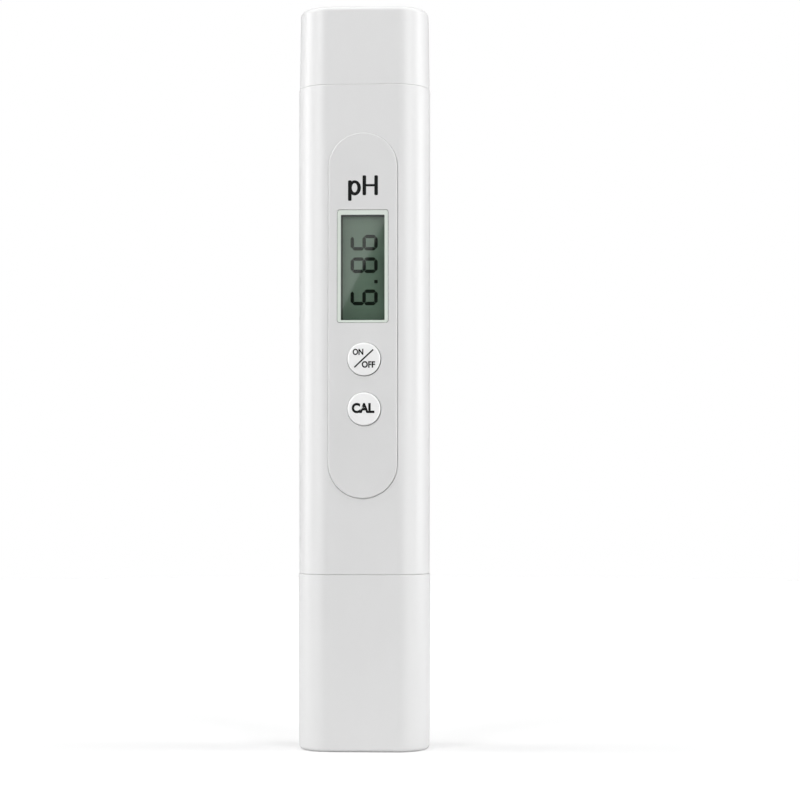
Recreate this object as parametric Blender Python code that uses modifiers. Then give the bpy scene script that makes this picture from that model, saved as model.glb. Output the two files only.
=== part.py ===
"""Pen-shaped pH meter: case, display, keys, board, batteries, probe and its two pull-off caps.

Metres, +Z up. The meter stands on its probe cap, and its front faces -Y.
Every part hangs from the empty pen_axis, the middle line of the case.
"""

import math

import bmesh
import bpy
from mathutils import Matrix, Vector

MM = 0.001
GAP = 0.3 * MM

# Case: a drafted tube with large round corners, split into a front and a rear half
LENGTH = 160.6 * MM
LOWER_SEAM = 37.8 * MM
UPPER_SEAM = 143.4 * MM
CASE_WIDTH_LOW = 28.3 * MM
CASE_WIDTH_HIGH = 28.7 * MM
CASE_DEPTH = 16.0 * MM
CASE_CORNER = 7.0 * MM
CASE_WALL = 1.5 * MM
CASE_FRONT = -CASE_DEPTH / 2
CASE_INSIDE = CASE_DEPTH / 2 - CASE_WALL
BOSS_ROOT = CASE_INSIDE + 0.1 * MM

# Caps: each narrower than the case at its seam, with a rounded far edge
BATTERY_CAP_LOW = (28.4 * MM, 15.8 * MM)
BATTERY_CAP_HIGH = (28.0 * MM, 15.5 * MM)
PROBE_CAP_LOW = (28.3 * MM, 15.8 * MM)
PROBE_CAP_HIGH = (28.55 * MM, 16.0 * MM)
CAP_CORNER = 6.8 * MM
CAP_EDGE = 1.2 * MM
FOOT_EDGE = 0.8 * MM
CAP_WALL = 1.2 * MM

# Panel plate: a stadium let into the case front, standing a little proud of it
PANEL_WIDTH = 14.8 * MM
PANEL_HEIGHT = 78.7 * MM
PANEL_CENTRE = 93.5 * MM
PANEL_FRONT = CASE_FRONT - 0.4 * MM
PANEL_THICKNESS = 0.9 * MM
RECESS_DEPTH = 0.8 * MM

# Display: the window lens lies in the panel plate, over a smaller opening in the case
OPENING_WIDTH = 9.4 * MM
OPENING_HEIGHT = 22.7 * MM
DISPLAY_CENTRE = 104.0 * MM
LENS_WIDTH = 11.0 * MM
LENS_HEIGHT = 24.3 * MM
LENS_CORNER = 0.5 * MM
LENS_SUNK = 0.1 * MM

# Keys: a little to the right of the middle line
KEY_PLACE = 0.3 * MM
KEY_PROUD = 0.6 * MM
KEY_RADIUS = 3.55 * MM
KEY_FLANGE_RADIUS = 4.3 * MM
KEY_HEIGHTS = {"on_off": 84.0 * MM, "cal": 73.3 * MM}

# Board, on four bosses of the front half
BOARD_WIDTH = 22.0 * MM
BOARD_LOW = 53.0 * MM
BOARD_HIGH = 131.0 * MM
BOARD_FRONT = -1.3 * MM
BOARD_BACK = -0.3 * MM
BOARD_SCREWS = [(x * MM, z * MM) for z in (58.0, 127.0) for x in (-9.2, 9.2)]
BOARD_SCREW_HOLE = 0.9 * MM

# Screws that pull the two halves together, through the battery holder and the probe base
CASE_SCREWS = [(x * MM, z * MM) for z in (42.3, 138.5) for x in (-6.5, 6.5)]
CASE_SCREW_HOLE = 1.1 * MM
REAR_BOSS_RADIUS = 2.5 * MM
BOSS_PASSAGE = REAR_BOSS_RADIUS + GAP

# Plugs: the moulded blocks that fill the ends of the case and carry the caps
PLUG_SIZE = (24.8 * MM, 12.2 * MM)
PLUG_CORNER = 5.1 * MM
SEAL_SIZE = (24.4 * MM, 11.6 * MM)
SEAL_CORNER = 4.8 * MM
SEAL_RADIUS = 0.5 * MM
SEAL_GROOVE = (22.8 * MM, 10.0 * MM)
SEAL_GROOVE_CORNER = 4.0 * MM
SEAL_GROOVE_HEIGHT = 1.3 * MM

# Batteries: three LR44 cells in a row along X, inside the battery cap
HOLDER_LOW = 133.5 * MM
HOLDER_HIGH = 148.4 * MM
HOLDER_SEAL = 145.25 * MM
CELL_RADIUS = 5.8 * MM
CELL_THICKNESS = 5.4 * MM
CELL_AXIS = 151.0 * MM
CELL_ROW_START = -7.3 * MM
CONTACT_PLACE = 10.0 * MM
CONTACT_THICKNESS = 0.4 * MM
POCKET_END = 10.5 * MM

# Probe, on the middle line inside the probe cap
BASE_LOW = 29.5 * MM
BASE_HIGH = 46.0 * MM
BASE_SEAL = 33.5 * MM
BULB_RADIUS = 3.8 * MM
BULB_CENTRE = 13.1 * MM
GLASS_RADIUS = 2.75 * MM
GLASS_WALL = 0.6 * MM
GLASS_TOP = 46.8 * MM
GUARD_RADIUS = 5.8 * MM
SIDE_PIN_PLACE = 8.8 * MM
SIDE_PIN_RADIUS = 1.2 * MM

FACING_FRONT = (math.pi / 2, 0.0, 0.0)
FACING_BACK = (-math.pi / 2, 0.0, 0.0)
ALONG_X = (0.0, math.pi / 2, 0.0)
UPRIGHT = (0.0, 0.0, 0.0)


def start_collection(name):
    collection = bpy.data.collections.new(name)
    bpy.context.scene.collection.children.link(collection)
    return collection


def make_material(name, colour, roughness, metallic=0.0, alpha=1.0):
    material = bpy.data.materials.new(name)
    material.use_nodes = True
    shader = material.node_tree.nodes["Principled BSDF"]
    shader.inputs["Base Color"].default_value = (*colour, 1.0)
    shader.inputs["Roughness"].default_value = roughness
    shader.inputs["Metallic"].default_value = metallic
    shader.inputs["Alpha"].default_value = alpha
    return material


def place(name, data, material, location, rotation=UPRIGHT):
    """Adds one part of the meter, in the middle line's frame."""
    part = bpy.data.objects.new(name, data)
    data.materials.append(material)
    part.parent = PEN_AXIS
    part.location = location
    part.rotation_euler = rotation
    PARTS.objects.link(part)
    return part


def tool(name, data, location=(0.0, 0.0, 0.0), rotation=UPRIGHT):
    """Adds a shape that only cuts or joins other parts."""
    shape = bpy.data.objects.new(name, data)
    shape.parent = PEN_AXIS
    shape.location = location
    shape.rotation_euler = rotation
    shape.hide_render = True
    shape.display_type = "WIRE"
    CUTTERS.objects.link(shape)
    return shape


def combine(part, shape, operation):
    modifier = part.modifiers.new(shape.name, "BOOLEAN")
    modifier.operation = operation
    modifier.solver = "EXACT"
    modifier.object = shape


def finish_mesh(name, shape, sharp_angle=35.0):
    mesh = bpy.data.meshes.new(name)
    bmesh.ops.recalc_face_normals(shape, faces=shape.faces)
    shape.to_mesh(mesh)
    shape.free()
    mesh.shade_smooth()
    mesh.set_sharp_from_angle(angle=math.radians(sharp_angle))
    return mesh


def edges_at(shape, height):
    return [edge for edge in shape.edges if all(abs(vert.co.z - height) < 0.001 * MM for vert in edge.verts)]


def drafted_block(low, high, height, corner, corner_steps=8, top_edge=0.0, bottom_edge=0.0):
    """An upright block on z = 0 with round corners; low and high are its width and depth at each end."""
    shape = bmesh.new()
    bmesh.ops.create_cube(shape, size=1.0)
    for vert in shape.verts:
        width, depth = high if vert.co.z > 0 else low
        vert.co = Vector((vert.co.x * width, vert.co.y * depth, height if vert.co.z > 0 else 0.0))
    uprights = [edge for edge in shape.edges if abs(edge.verts[0].co.z - edge.verts[1].co.z) > height / 2]
    bmesh.ops.bevel(shape, geom=uprights, offset=corner, segments=corner_steps, profile=0.5, affect="EDGES")
    for level, edge in ((0.0, bottom_edge), (height, top_edge)):
        if edge:
            rim = edges_at(shape, level)
            bmesh.ops.bevel(shape, geom=rim, offset=edge, segments=3, profile=0.5, affect="EDGES")
    return shape


def remove_end(shape, height):
    ends = [face for face in shape.faces if all(abs(vert.co.z - height) < 0.001 * MM for vert in face.verts)]
    bmesh.ops.delete(shape, geom=ends, context="FACES")


def box_mesh(name, size):
    shape = bmesh.new()
    bmesh.ops.create_cube(shape, size=1.0, matrix=Matrix.Diagonal((*size, 1.0)))
    return finish_mesh(name, shape)


def rod_mesh(name, radius, length, steps=20):
    shape = bmesh.new()
    bmesh.ops.create_cone(shape, cap_ends=True, segments=steps, radius1=radius, radius2=radius, depth=length)
    return finish_mesh(name, shape)


def box(name, material, x_range, y_range, z_range):
    """A plain box between two planes along each axis."""
    spans = (x_range, y_range, z_range)
    size = [high - low for low, high in spans]
    middle = [(low + high) / 2 for low, high in spans]
    return place(name, box_mesh(name, size), material, middle)


def box_tool(name, x_range, y_range, z_range):
    spans = (x_range, y_range, z_range)
    size = [high - low for low, high in spans]
    middle = [(low + high) / 2 for low, high in spans]
    return tool(name, box_mesh(name, size), middle)


def pegs(name, places, radius, front, back, steps=20):
    """A tool of round pegs along Y, one at each (x, z) place, from y = front to y = back."""
    shape = bmesh.new()
    lay_down = Matrix.Rotation(math.pi / 2, 4, "X")
    for x, z in places:
        bmesh.ops.create_cone(
            shape,
            cap_ends=True,
            segments=steps,
            radius1=radius,
            radius2=radius,
            depth=back - front,
            matrix=Matrix.Translation((x, (front + back) / 2, z)) @ lay_down,
        )
    return tool(name, finish_mesh(name, shape))


def turned(name, material, profile, location, rotation=UPRIGHT, steps=24, hollow=False):
    """A turned part: the profile's (radius, height) points run down the outer side, top to bottom."""
    count = len(profile)
    edges = [(index, index + 1) for index in range(count - 1)]
    if hollow:
        edges.append((count - 1, 0))
    mesh = bpy.data.meshes.new(name)
    mesh.from_pydata([(radius, 0.0, height) for radius, height in profile], edges, [])
    part = place(name, mesh, material, location, rotation)
    turn = part.modifiers.new("turn", "SCREW")
    turn.steps = steps
    turn.render_steps = steps
    turn.use_merge_vertices = True
    turn.merge_threshold = 0.01 * MM
    turn.use_smooth_shade = True
    return part


def round_rectangle(width, height, radius, centre=(0.0, 0.0), steps=8):
    """Points round a rectangle with round corners, a stadium or a circle."""
    points = []
    for quarter, (side_x, side_y) in enumerate(((1, 1), (-1, 1), (-1, -1), (1, -1))):
        middle = Vector((side_x * (width / 2 - radius), side_y * (height / 2 - radius))) + Vector(centre)
        for step in range(steps + 1):
            angle = (quarter + step / steps) * math.pi / 2
            point = middle + radius * Vector((math.cos(angle), math.sin(angle)))
            if not points or (point - points[-1]).length > 0.01 * MM:
                points.append(point)
    if (points[0] - points[-1]).length < 0.01 * MM:
        points.pop()
    return points


def circle(radius, centre):
    return round_rectangle(2 * radius, 2 * radius, radius, centre, steps=6)


def outline_curve(name, loops, thickness):
    """A flat plate in its own XY plane; the loops after the first are holes."""
    curve = bpy.data.curves.new(name, "CURVE")
    curve.dimensions = "2D"
    curve.fill_mode = "BOTH"
    curve.extrude = thickness / 2
    for points in loops:
        spline = curve.splines.new("POLY")
        spline.points.add(len(points) - 1)
        for spline_point, point in zip(spline.points, points):
            spline_point.co = (point[0], point[1], 0.0, 1.0)
        spline.use_cyclic_u = True
    return curve


def outline_tool(name, loops, thickness, location, rotation=UPRIGHT):
    """The same plate as a welded mesh, for cutting."""
    sketch = bpy.data.objects.new(name + "_sketch", outline_curve(name + "_sketch", loops, thickness))
    CUTTERS.objects.link(sketch)
    evaluated = sketch.evaluated_get(bpy.context.evaluated_depsgraph_get())
    mesh = bpy.data.meshes.new_from_object(evaluated)
    bpy.data.objects.remove(sketch)
    shape = bmesh.new()
    shape.from_mesh(mesh)
    bmesh.ops.remove_doubles(shape, verts=shape.verts, dist=0.001 * MM)
    return tool(name, finish_mesh(name, shape), location, rotation)


def tube(name, material, points, radius, location, closed=False):
    """A round wire or ring along the points."""
    curve = bpy.data.curves.new(name, "CURVE")
    curve.dimensions = "3D"
    curve.bevel_depth = radius
    curve.bevel_resolution = 2
    curve.use_fill_caps = not closed
    spline = curve.splines.new("POLY")
    spline.points.add(len(points) - 1)
    for spline_point, point in zip(spline.points, points):
        spline_point.co = (*point, 1.0)
    spline.use_cyclic_u = closed
    return place(name, curve, material, location)


def case_half(name, side):
    """Half of the case: the wall of a drafted tube on one side of y = 0; side is -1 at the front, 1 at the rear."""
    low = (CASE_WIDTH_LOW, CASE_DEPTH)
    high = (CASE_WIDTH_HIGH, CASE_DEPTH)
    height = UPPER_SEAM - LOWER_SEAM - GAP
    shape = drafted_block(low, high, height, CASE_CORNER, corner_steps=10)
    remove_end(shape, 0.0)
    remove_end(shape, height)
    everything = [*shape.verts, *shape.edges, *shape.faces]
    split = Vector((0.0, side * GAP / 2, 0.0))
    bmesh.ops.bisect_plane(shape, geom=everything, plane_co=split, plane_no=(0.0, -side, 0.0), clear_outer=True)
    outer_wall = bpy.data.meshes.new(name)
    shape.to_mesh(outer_wall)
    shape.free()
    outer_wall.shade_smooth()
    half = place(name, outer_wall, WHITE_PLASTIC, (0.0, 0.0, LOWER_SEAM + GAP / 2))
    wall = half.modifiers.new("wall", "SOLIDIFY")
    wall.thickness = CASE_WALL
    wall.offset = -1.0
    wall.use_even_offset = True
    return half


def make_front_half():
    half = case_half("front_shell", -1)
    recess = round_rectangle(PANEL_WIDTH + 2 * GAP, PANEL_HEIGHT + 2 * GAP, PANEL_WIDTH / 2 + GAP, steps=10)
    recess_middle = (0.0, CASE_FRONT, PANEL_CENTRE)
    combine(half, outline_tool("panel_recess", [recess], 2 * RECESS_DEPTH, recess_middle, FACING_FRONT), "DIFFERENCE")
    display_opening = box_tool(
        "display_opening",
        (-OPENING_WIDTH / 2, OPENING_WIDTH / 2),
        (CASE_FRONT - MM, -CASE_INSIDE + MM),
        (DISPLAY_CENTRE - OPENING_HEIGHT / 2, DISPLAY_CENTRE + OPENING_HEIGHT / 2),
    )
    combine(half, display_opening, "DIFFERENCE")
    key_places = [(KEY_PLACE, height) for height in KEY_HEIGHTS.values()]
    key_openings = pegs("key_openings", key_places, KEY_RADIUS + GAP, CASE_FRONT - MM, -CASE_INSIDE + MM, steps=32)
    combine(half, key_openings, "DIFFERENCE")

    board_seat = BOARD_FRONT - GAP
    combine(half, pegs("board_bosses", BOARD_SCREWS, 1.9 * MM, -BOSS_ROOT, board_seat), "UNION")
    combine(half, pegs("board_pilots", BOARD_SCREWS, BOARD_SCREW_HOLE, -5.6 * MM, 0.0), "DIFFERENCE")
    combine(half, pegs("case_bosses", CASE_SCREWS, 2.1 * MM, -BOSS_ROOT, -0.9 * MM), "UNION")
    combine(half, pegs("case_pilots", CASE_SCREWS, CASE_SCREW_HOLE, -5.6 * MM, 0.0), "DIFFERENCE")


def make_rear_half():
    half = case_half("rear_shell", 1)
    combine(half, pegs("rear_bosses", CASE_SCREWS, REAR_BOSS_RADIUS, -0.6 * MM, BOSS_ROOT), "UNION")
    combine(half, pegs("head_seats", CASE_SCREWS, 1.9 * MM, 6.0 * MM, 9.0 * MM), "DIFFERENCE")
    combine(half, pegs("rear_holes", CASE_SCREWS, CASE_SCREW_HOLE, -2.0 * MM, 7.0 * MM), "DIFFERENCE")


def make_panel():
    loops = [
        round_rectangle(PANEL_WIDTH, PANEL_HEIGHT, PANEL_WIDTH / 2, steps=12),
        round_rectangle(
            LENS_WIDTH + 2 * GAP,
            LENS_HEIGHT + 2 * GAP,
            LENS_CORNER + GAP,
            (0.0, DISPLAY_CENTRE - PANEL_CENTRE),
            steps=3,
        ),
    ]
    for height in KEY_HEIGHTS.values():
        loops.append(circle(KEY_RADIUS + GAP, (KEY_PLACE, height - PANEL_CENTRE)))
    plate = outline_curve("panel_plate", loops, PANEL_THICKNESS)
    middle = (0.0, PANEL_FRONT + PANEL_THICKNESS / 2, PANEL_CENTRE)
    place("panel_plate", plate, GREY_PLASTIC, middle, FACING_FRONT)


def make_display():
    def layer(name, material, width, height, front, back):
        across = (-width / 2, width / 2)
        up = (DISPLAY_CENTRE - height / 2, DISPLAY_CENTRE + height / 2)
        return box(name, material, across, (front, back), up)

    lens_front = PANEL_FRONT + LENS_SUNK
    lens_back = CASE_FRONT + RECESS_DEPTH - GAP
    lens_outline = round_rectangle(LENS_WIDTH, LENS_HEIGHT, LENS_CORNER, steps=3)
    lens = outline_curve("display_window", [lens_outline], lens_back - lens_front)
    lens_middle = (0.0, (lens_front + lens_back) / 2, DISPLAY_CENTRE)
    place("display_window", lens, CLEAR_PLASTIC, lens_middle, FACING_FRONT)
    layer("lcd_front_glass", LCD_GLASS, 13.0 * MM, 27.0 * MM, -6.1 * MM, -5.4 * MM)
    layer("lcd_rear_glass", LCD_GLASS, 9.6 * MM, 27.0 * MM, -5.1 * MM, -4.4 * MM)
    layer("lcd_reflector", LCD_REFLECTOR, 9.6 * MM, 26.0 * MM, -4.1 * MM, -3.8 * MM)
    frame_depth = 4.5 * MM
    frame_loops = [
        round_rectangle(16.4 * MM, 30.4 * MM, 1.0 * MM, steps=3),
        round_rectangle(13.6 * MM, 27.6 * MM, 0.3 * MM, steps=2),
    ]
    frame_middle = (0.0, BOARD_FRONT - GAP - frame_depth / 2, DISPLAY_CENTRE)
    frame = outline_curve("lcd_frame", frame_loops, frame_depth)
    place("lcd_frame", frame, GREY_PLASTIC, frame_middle, FACING_FRONT)
    for name, side in (("zebra_strip_left", -1), ("zebra_strip_right", 1)):
        across = sorted((side * 5.2 * MM, side * 6.4 * MM))
        up = (DISPLAY_CENTRE - 12.0 * MM, DISPLAY_CENTRE + 12.0 * MM)
        box(name, ELASTOMER, across, (-5.1 * MM, BOARD_FRONT - GAP), up)


def make_keys():
    """Each key is turned about its own travel axis; height 0 is the front of the panel plate."""
    flange_front = PANEL_FRONT - (-CASE_INSIDE + GAP)
    flange_back = flange_front - 0.8 * MM
    stem_end = flange_back - 0.8 * MM
    profile = [
        (0.0, KEY_PROUD),
        (1.8 * MM, KEY_PROUD - 0.05 * MM),
        (3.0 * MM, KEY_PROUD - 0.16 * MM),
        (3.4 * MM, KEY_PROUD - 0.3 * MM),
        (KEY_RADIUS, KEY_PROUD - 0.5 * MM),
        (KEY_RADIUS, flange_front),
        (KEY_FLANGE_RADIUS, flange_front),
        (KEY_FLANGE_RADIUS, flange_back),
        (1.5 * MM, flange_back),
        (1.5 * MM, stem_end),
        (0.0, stem_end),
    ]
    plunger_front = PANEL_FRONT - stem_end + GAP
    for key, height in KEY_HEIGHTS.items():
        turned(key + "_key", WHITE_PLASTIC, profile, (KEY_PLACE, PANEL_FRONT, height), FACING_FRONT, steps=32)
        plunger = rod_mesh(key + "_plunger", 1.3 * MM, 1.3 * MM)
        middle = (KEY_PLACE, plunger_front + 0.65 * MM, height)
        place(key + "_plunger", plunger, BLACK_PLASTIC, middle, FACING_FRONT)
        base = box(
            key + "_switch_base",
            BLACK_PLASTIC,
            (KEY_PLACE - 3.0 * MM, KEY_PLACE + 3.0 * MM),
            (-3.6 * MM, BOARD_FRONT - GAP),
            (height - 3.0 * MM, height + 3.0 * MM),
        )
        bore = pegs(key + "_switch_bore", [(KEY_PLACE, height)], 1.6 * MM, -4.6 * MM, -2.1 * MM)
        combine(base, bore, "DIFFERENCE")


def make_board():
    middle_height = (BOARD_LOW + BOARD_HIGH) / 2
    loops = [round_rectangle(BOARD_WIDTH, BOARD_HIGH - BOARD_LOW, 1.0 * MM, steps=3)]
    for x, z in BOARD_SCREWS:
        loops.append(circle(BOARD_SCREW_HOLE, (x, z - middle_height)))
    board = outline_curve("main_board", loops, BOARD_BACK - BOARD_FRONT)
    place("main_board", board, BOARD_GREEN, (0.0, (BOARD_FRONT + BOARD_BACK) / 2, middle_height), FACING_FRONT)

    def chip(name, x, z, width, height, thickness):
        across = (x - width / 2, x + width / 2)
        box(name, BLACK_PLASTIC, across, (0.0, thickness), (z - height / 2, z + height / 2))

    chip("microcontroller", 0.0, 104.0 * MM, 7.0 * MM, 7.0 * MM, 1.2 * MM)
    chip("amplifier_chip", 0.0, 66.0 * MM, 5.0 * MM, 4.0 * MM, 1.4 * MM)
    place("crystal", rod_mesh("crystal", 1.0 * MM, 6.0 * MM), STEEL, (6.0 * MM, 1.0 * MM, 90.0 * MM))
    capacitor = rod_mesh("capacitor", 2.0 * MM, 4.6 * MM)
    place("capacitor", capacitor, ALUMINIUM, (-6.0 * MM, 2.3 * MM, 86.0 * MM), FACING_FRONT)


def make_screw(name, x, z, seat, head_radius, head_height, shank_radius, length):
    """A pan-head screw driven in from the rear; seat is the y of the underside of its head."""
    profile = [
        (0.0, head_height),
        (head_radius * 0.7, head_height),
        (head_radius, head_height * 0.55),
        (head_radius, 0.0),
        (shank_radius, 0.0),
        (shank_radius, -length * 0.85),
        (0.0, -length),
    ]
    turned(name, STEEL, profile, (x, seat, z), FACING_BACK, steps=16)


def make_screws():
    for number, (x, z) in enumerate(BOARD_SCREWS, 1):
        make_screw(f"board_screw_{number}", x, z, 0.0, 1.5 * MM, 1.1 * MM, 0.6 * MM, 5.0 * MM)
    for number, (x, z) in enumerate(CASE_SCREWS, 1):
        make_screw(f"case_screw_{number}", x, z, 6.3 * MM, 1.6 * MM, 1.2 * MM, 0.8 * MM, 11.3 * MM)


def seal_groove(name, height):
    loops = [round_rectangle(30.0 * MM, 18.0 * MM, 2.0 * MM, steps=2), round_rectangle(*SEAL_GROOVE, SEAL_GROOVE_CORNER)]
    return outline_tool(name, loops, SEAL_GROOVE_HEIGHT, (0.0, 0.0, height))


def make_seal(name, height):
    points = [(x, y, 0.0) for x, y in round_rectangle(*SEAL_SIZE, SEAL_CORNER, steps=6)]
    tube(name, ELASTOMER, points, SEAL_RADIUS, (0.0, 0.0, height), closed=True)


def make_battery_holder():
    block = finish_mesh("battery_holder", drafted_block(PLUG_SIZE, PLUG_SIZE, HOLDER_HIGH - HOLDER_LOW, PLUG_CORNER))
    holder = place("battery_holder", block, BLACK_PLASTIC, (0.0, 0.0, HOLDER_LOW))
    for name, side in (("left", -1), ("right", 1)):
        across = sorted((side * POCKET_END, side * (POCKET_END + 1.2 * MM)))
        end_wall = box_tool(name + "_end_wall", across, (-3.6 * MM, 3.6 * MM), (146.0 * MM, 156.5 * MM))
        combine(holder, end_wall, "UNION")
        slot_across = sorted((side * (POCKET_END - MM), side * POCKET_END))
        slot = box_tool(name + "_contact_slot", slot_across, (-1.5 * MM, 1.5 * MM), (133.0 * MM, 150.0 * MM))
        combine(holder, slot, "DIFFERENCE")
    trough = rod_mesh("cell_trough", CELL_RADIUS + GAP, 2 * POCKET_END, steps=40)
    combine(holder, tool("cell_trough", trough, (0.0, 0.0, CELL_AXIS), ALONG_X), "DIFFERENCE")
    combine(holder, seal_groove("holder_seal_groove", HOLDER_SEAL), "DIFFERENCE")
    passages = pegs("holder_passages", CASE_SCREWS[2:], BOSS_PASSAGE, -8.0 * MM, 8.0 * MM)
    combine(holder, passages, "DIFFERENCE")
    make_seal("battery_cap_seal", HOLDER_SEAL)


def make_batteries():
    cell_profile = [
        (0.0, CELL_THICKNESS),
        (4.5 * MM, CELL_THICKNESS),
        (4.8 * MM, 5.1 * MM),
        (4.9 * MM, 4.7 * MM),
        (5.5 * MM, 4.7 * MM),
        (CELL_RADIUS, 4.4 * MM),
        (CELL_RADIUS, 0.3 * MM),
        (5.5 * MM, 0.0),
        (0.0, 0.0),
    ]
    pitch = CELL_THICKNESS + GAP
    towards_spring = (0.0, -math.pi / 2, 0.0)
    for number in range(3):
        cell_end = CELL_ROW_START + CELL_THICKNESS + number * pitch
        name = f"battery_cell_{number + 1}"
        turned(name, STEEL, cell_profile, (cell_end, 0.0, CELL_AXIS), towards_spring, steps=28)

    strip_middle = 143.3 * MM
    tail_end = BOARD_HIGH + GAP - strip_middle
    head_start = 146.2 * MM - strip_middle
    strip_top = 155.0 * MM - strip_middle
    strip = [
        (-1.2 * MM, tail_end),
        (1.2 * MM, tail_end),
        (1.2 * MM, head_start),
        (3.0 * MM, head_start + 1.8 * MM),
        (3.0 * MM, strip_top),
        (-3.0 * MM, strip_top),
        (-3.0 * MM, head_start + 1.8 * MM),
        (-1.2 * MM, head_start),
    ]
    across_case = (math.pi / 2, 0.0, math.pi / 2)
    for name, side in (("negative_contact", -1), ("positive_contact", 1)):
        contact = outline_curve(name, [strip], CONTACT_THICKNESS)
        place(name, contact, STEEL, (side * CONTACT_PLACE, 0.0, strip_middle), across_case)

    wire_radius = 0.25 * MM
    turns = 2.5
    steps = 30
    spring_start = -9.5 * MM + wire_radius
    spring_end = CELL_ROW_START - GAP - wire_radius
    coil = []
    for step in range(steps + 1):
        part_way = step / steps
        angle = part_way * turns * 2 * math.pi
        radius = (3.4 - 1.8 * part_way) * MM
        x = spring_start + (spring_end - spring_start) * part_way
        coil.append((x, radius * math.cos(angle), radius * math.sin(angle)))
    tube("contact_spring", STEEL, coil, wire_radius, (0.0, 0.0, CELL_AXIS))


def make_battery_cap():
    height = LENGTH - UPPER_SEAM - GAP / 2
    shape = drafted_block(BATTERY_CAP_LOW, BATTERY_CAP_HIGH, height, CAP_CORNER, corner_steps=10, top_edge=CAP_EDGE)
    remove_end(shape, 0.0)
    add_cap("battery_cap", shape, UPPER_SEAM + GAP / 2)


def make_probe_cap():
    height = LOWER_SEAM - GAP / 2
    shape = drafted_block(PROBE_CAP_LOW, PROBE_CAP_HIGH, height, CAP_CORNER, corner_steps=10, bottom_edge=FOOT_EDGE)
    remove_end(shape, height)
    add_cap("probe_cap", shape, 0.0)
    sponge_size = (22.6 * MM, 10.6 * MM)
    sponge = drafted_block(sponge_size, sponge_size, 4.8 * MM, 3.8 * MM, corner_steps=5)
    sponge_place = (0.0, 0.0, CAP_WALL + GAP)
    place("soaking_sponge", finish_mesh("soaking_sponge", sponge), FOAM, sponge_place)


def add_cap(name, outer_surface, height):
    """A cap from its outer surface, open at the mouth; the wall grows inwards."""
    mesh = bpy.data.meshes.new(name)
    outer_surface.to_mesh(mesh)
    outer_surface.free()
    mesh.shade_smooth()
    cap = place(name, mesh, WHITE_PLASTIC, (0.0, 0.0, height))
    wall = cap.modifiers.new("wall", "SOLIDIFY")
    wall.thickness = CAP_WALL
    wall.offset = -1.0
    wall.use_even_offset = True
    return cap


def make_probe_base():
    block = finish_mesh("probe_base", drafted_block(PLUG_SIZE, PLUG_SIZE, BASE_HIGH - BASE_LOW, PLUG_CORNER))
    base = place("probe_base", block, GREY_PLASTIC, (0.0, 0.0, BASE_LOW))
    bores = [
        ("glass_bore", 0.0, GLASS_RADIUS + GAP, BASE_LOW - MM, BASE_HIGH + MM),
        ("guard_socket", 0.0, 4.4 * MM, BASE_LOW - MM, 34.3 * MM),
        ("pin_bore", SIDE_PIN_PLACE, SIDE_PIN_RADIUS + GAP, BASE_LOW - MM, 36.3 * MM),
        ("junction_bore", -SIDE_PIN_PLACE, SIDE_PIN_RADIUS + GAP, BASE_LOW - MM, 35.3 * MM),
    ]
    for name, x, radius, low, high in bores:
        bore = rod_mesh(name, radius, high - low, steps=24)
        combine(base, tool(name, bore, (x, 0.0, (low + high) / 2)), "DIFFERENCE")
    combine(base, seal_groove("base_seal_groove", BASE_SEAL), "DIFFERENCE")
    passages = pegs("base_passages", CASE_SCREWS[:2], BOSS_PASSAGE, -8.0 * MM, 8.0 * MM)
    combine(base, passages, "DIFFERENCE")
    make_seal("probe_cap_seal", BASE_SEAL)


def make_electrode():
    inner_bulb = BULB_RADIUS - 0.5 * MM
    inner_stem = GLASS_RADIUS - GLASS_WALL

    def bulb_arc(radius, stem_radius, steps=8):
        """From the bulb's lowest point up to where it meets the stem."""
        neck = math.pi - math.asin(stem_radius / radius)
        angles = [neck * step / steps for step in range(steps + 1)]
        return [(radius * math.sin(angle), BULB_CENTRE - radius * math.cos(angle)) for angle in angles]

    inside = bulb_arc(inner_bulb, inner_stem)
    outside = bulb_arc(BULB_RADIUS, GLASS_RADIUS)
    profile = [*inside, (inner_stem, GLASS_TOP), (GLASS_RADIUS, GLASS_TOP), *reversed(outside)]
    turned("glass_electrode", PROBE_GLASS, profile, (0.0, 0.0, 0.0))

    wire_low = 12.5 * MM
    wire_high = 47.6 * MM
    wire = rod_mesh("electrode_wire", 0.4 * MM, wire_high - wire_low, steps=10)
    place("electrode_wire", wire, STEEL, (0.0, 0.0, (wire_low + wire_high) / 2))
    plug_profile = [(1.85 * MM, 5.1 * MM), (1.85 * MM, 0.0), (0.7 * MM, 0.0), (0.7 * MM, 5.1 * MM)]
    turned("electrode_plug", ELASTOMER, plug_profile, (0.0, 0.0, 42.0 * MM), steps=20, hollow=True)

    lead_low = wire_high + GAP
    lead_high = BOARD_LOW - GAP
    lead = []
    for step in range(11):
        part_way = step / 10
        bow = math.sin(math.pi * part_way) ** 2
        y = (BOARD_FRONT + BOARD_BACK) / 2 * part_way
        lead.append((1.6 * MM * bow, y, lead_low + (lead_high - lead_low) * part_way))
    tube("sensor_lead", ELASTOMER, lead, 0.45 * MM, (0.0, 0.0, 0.0))


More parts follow.
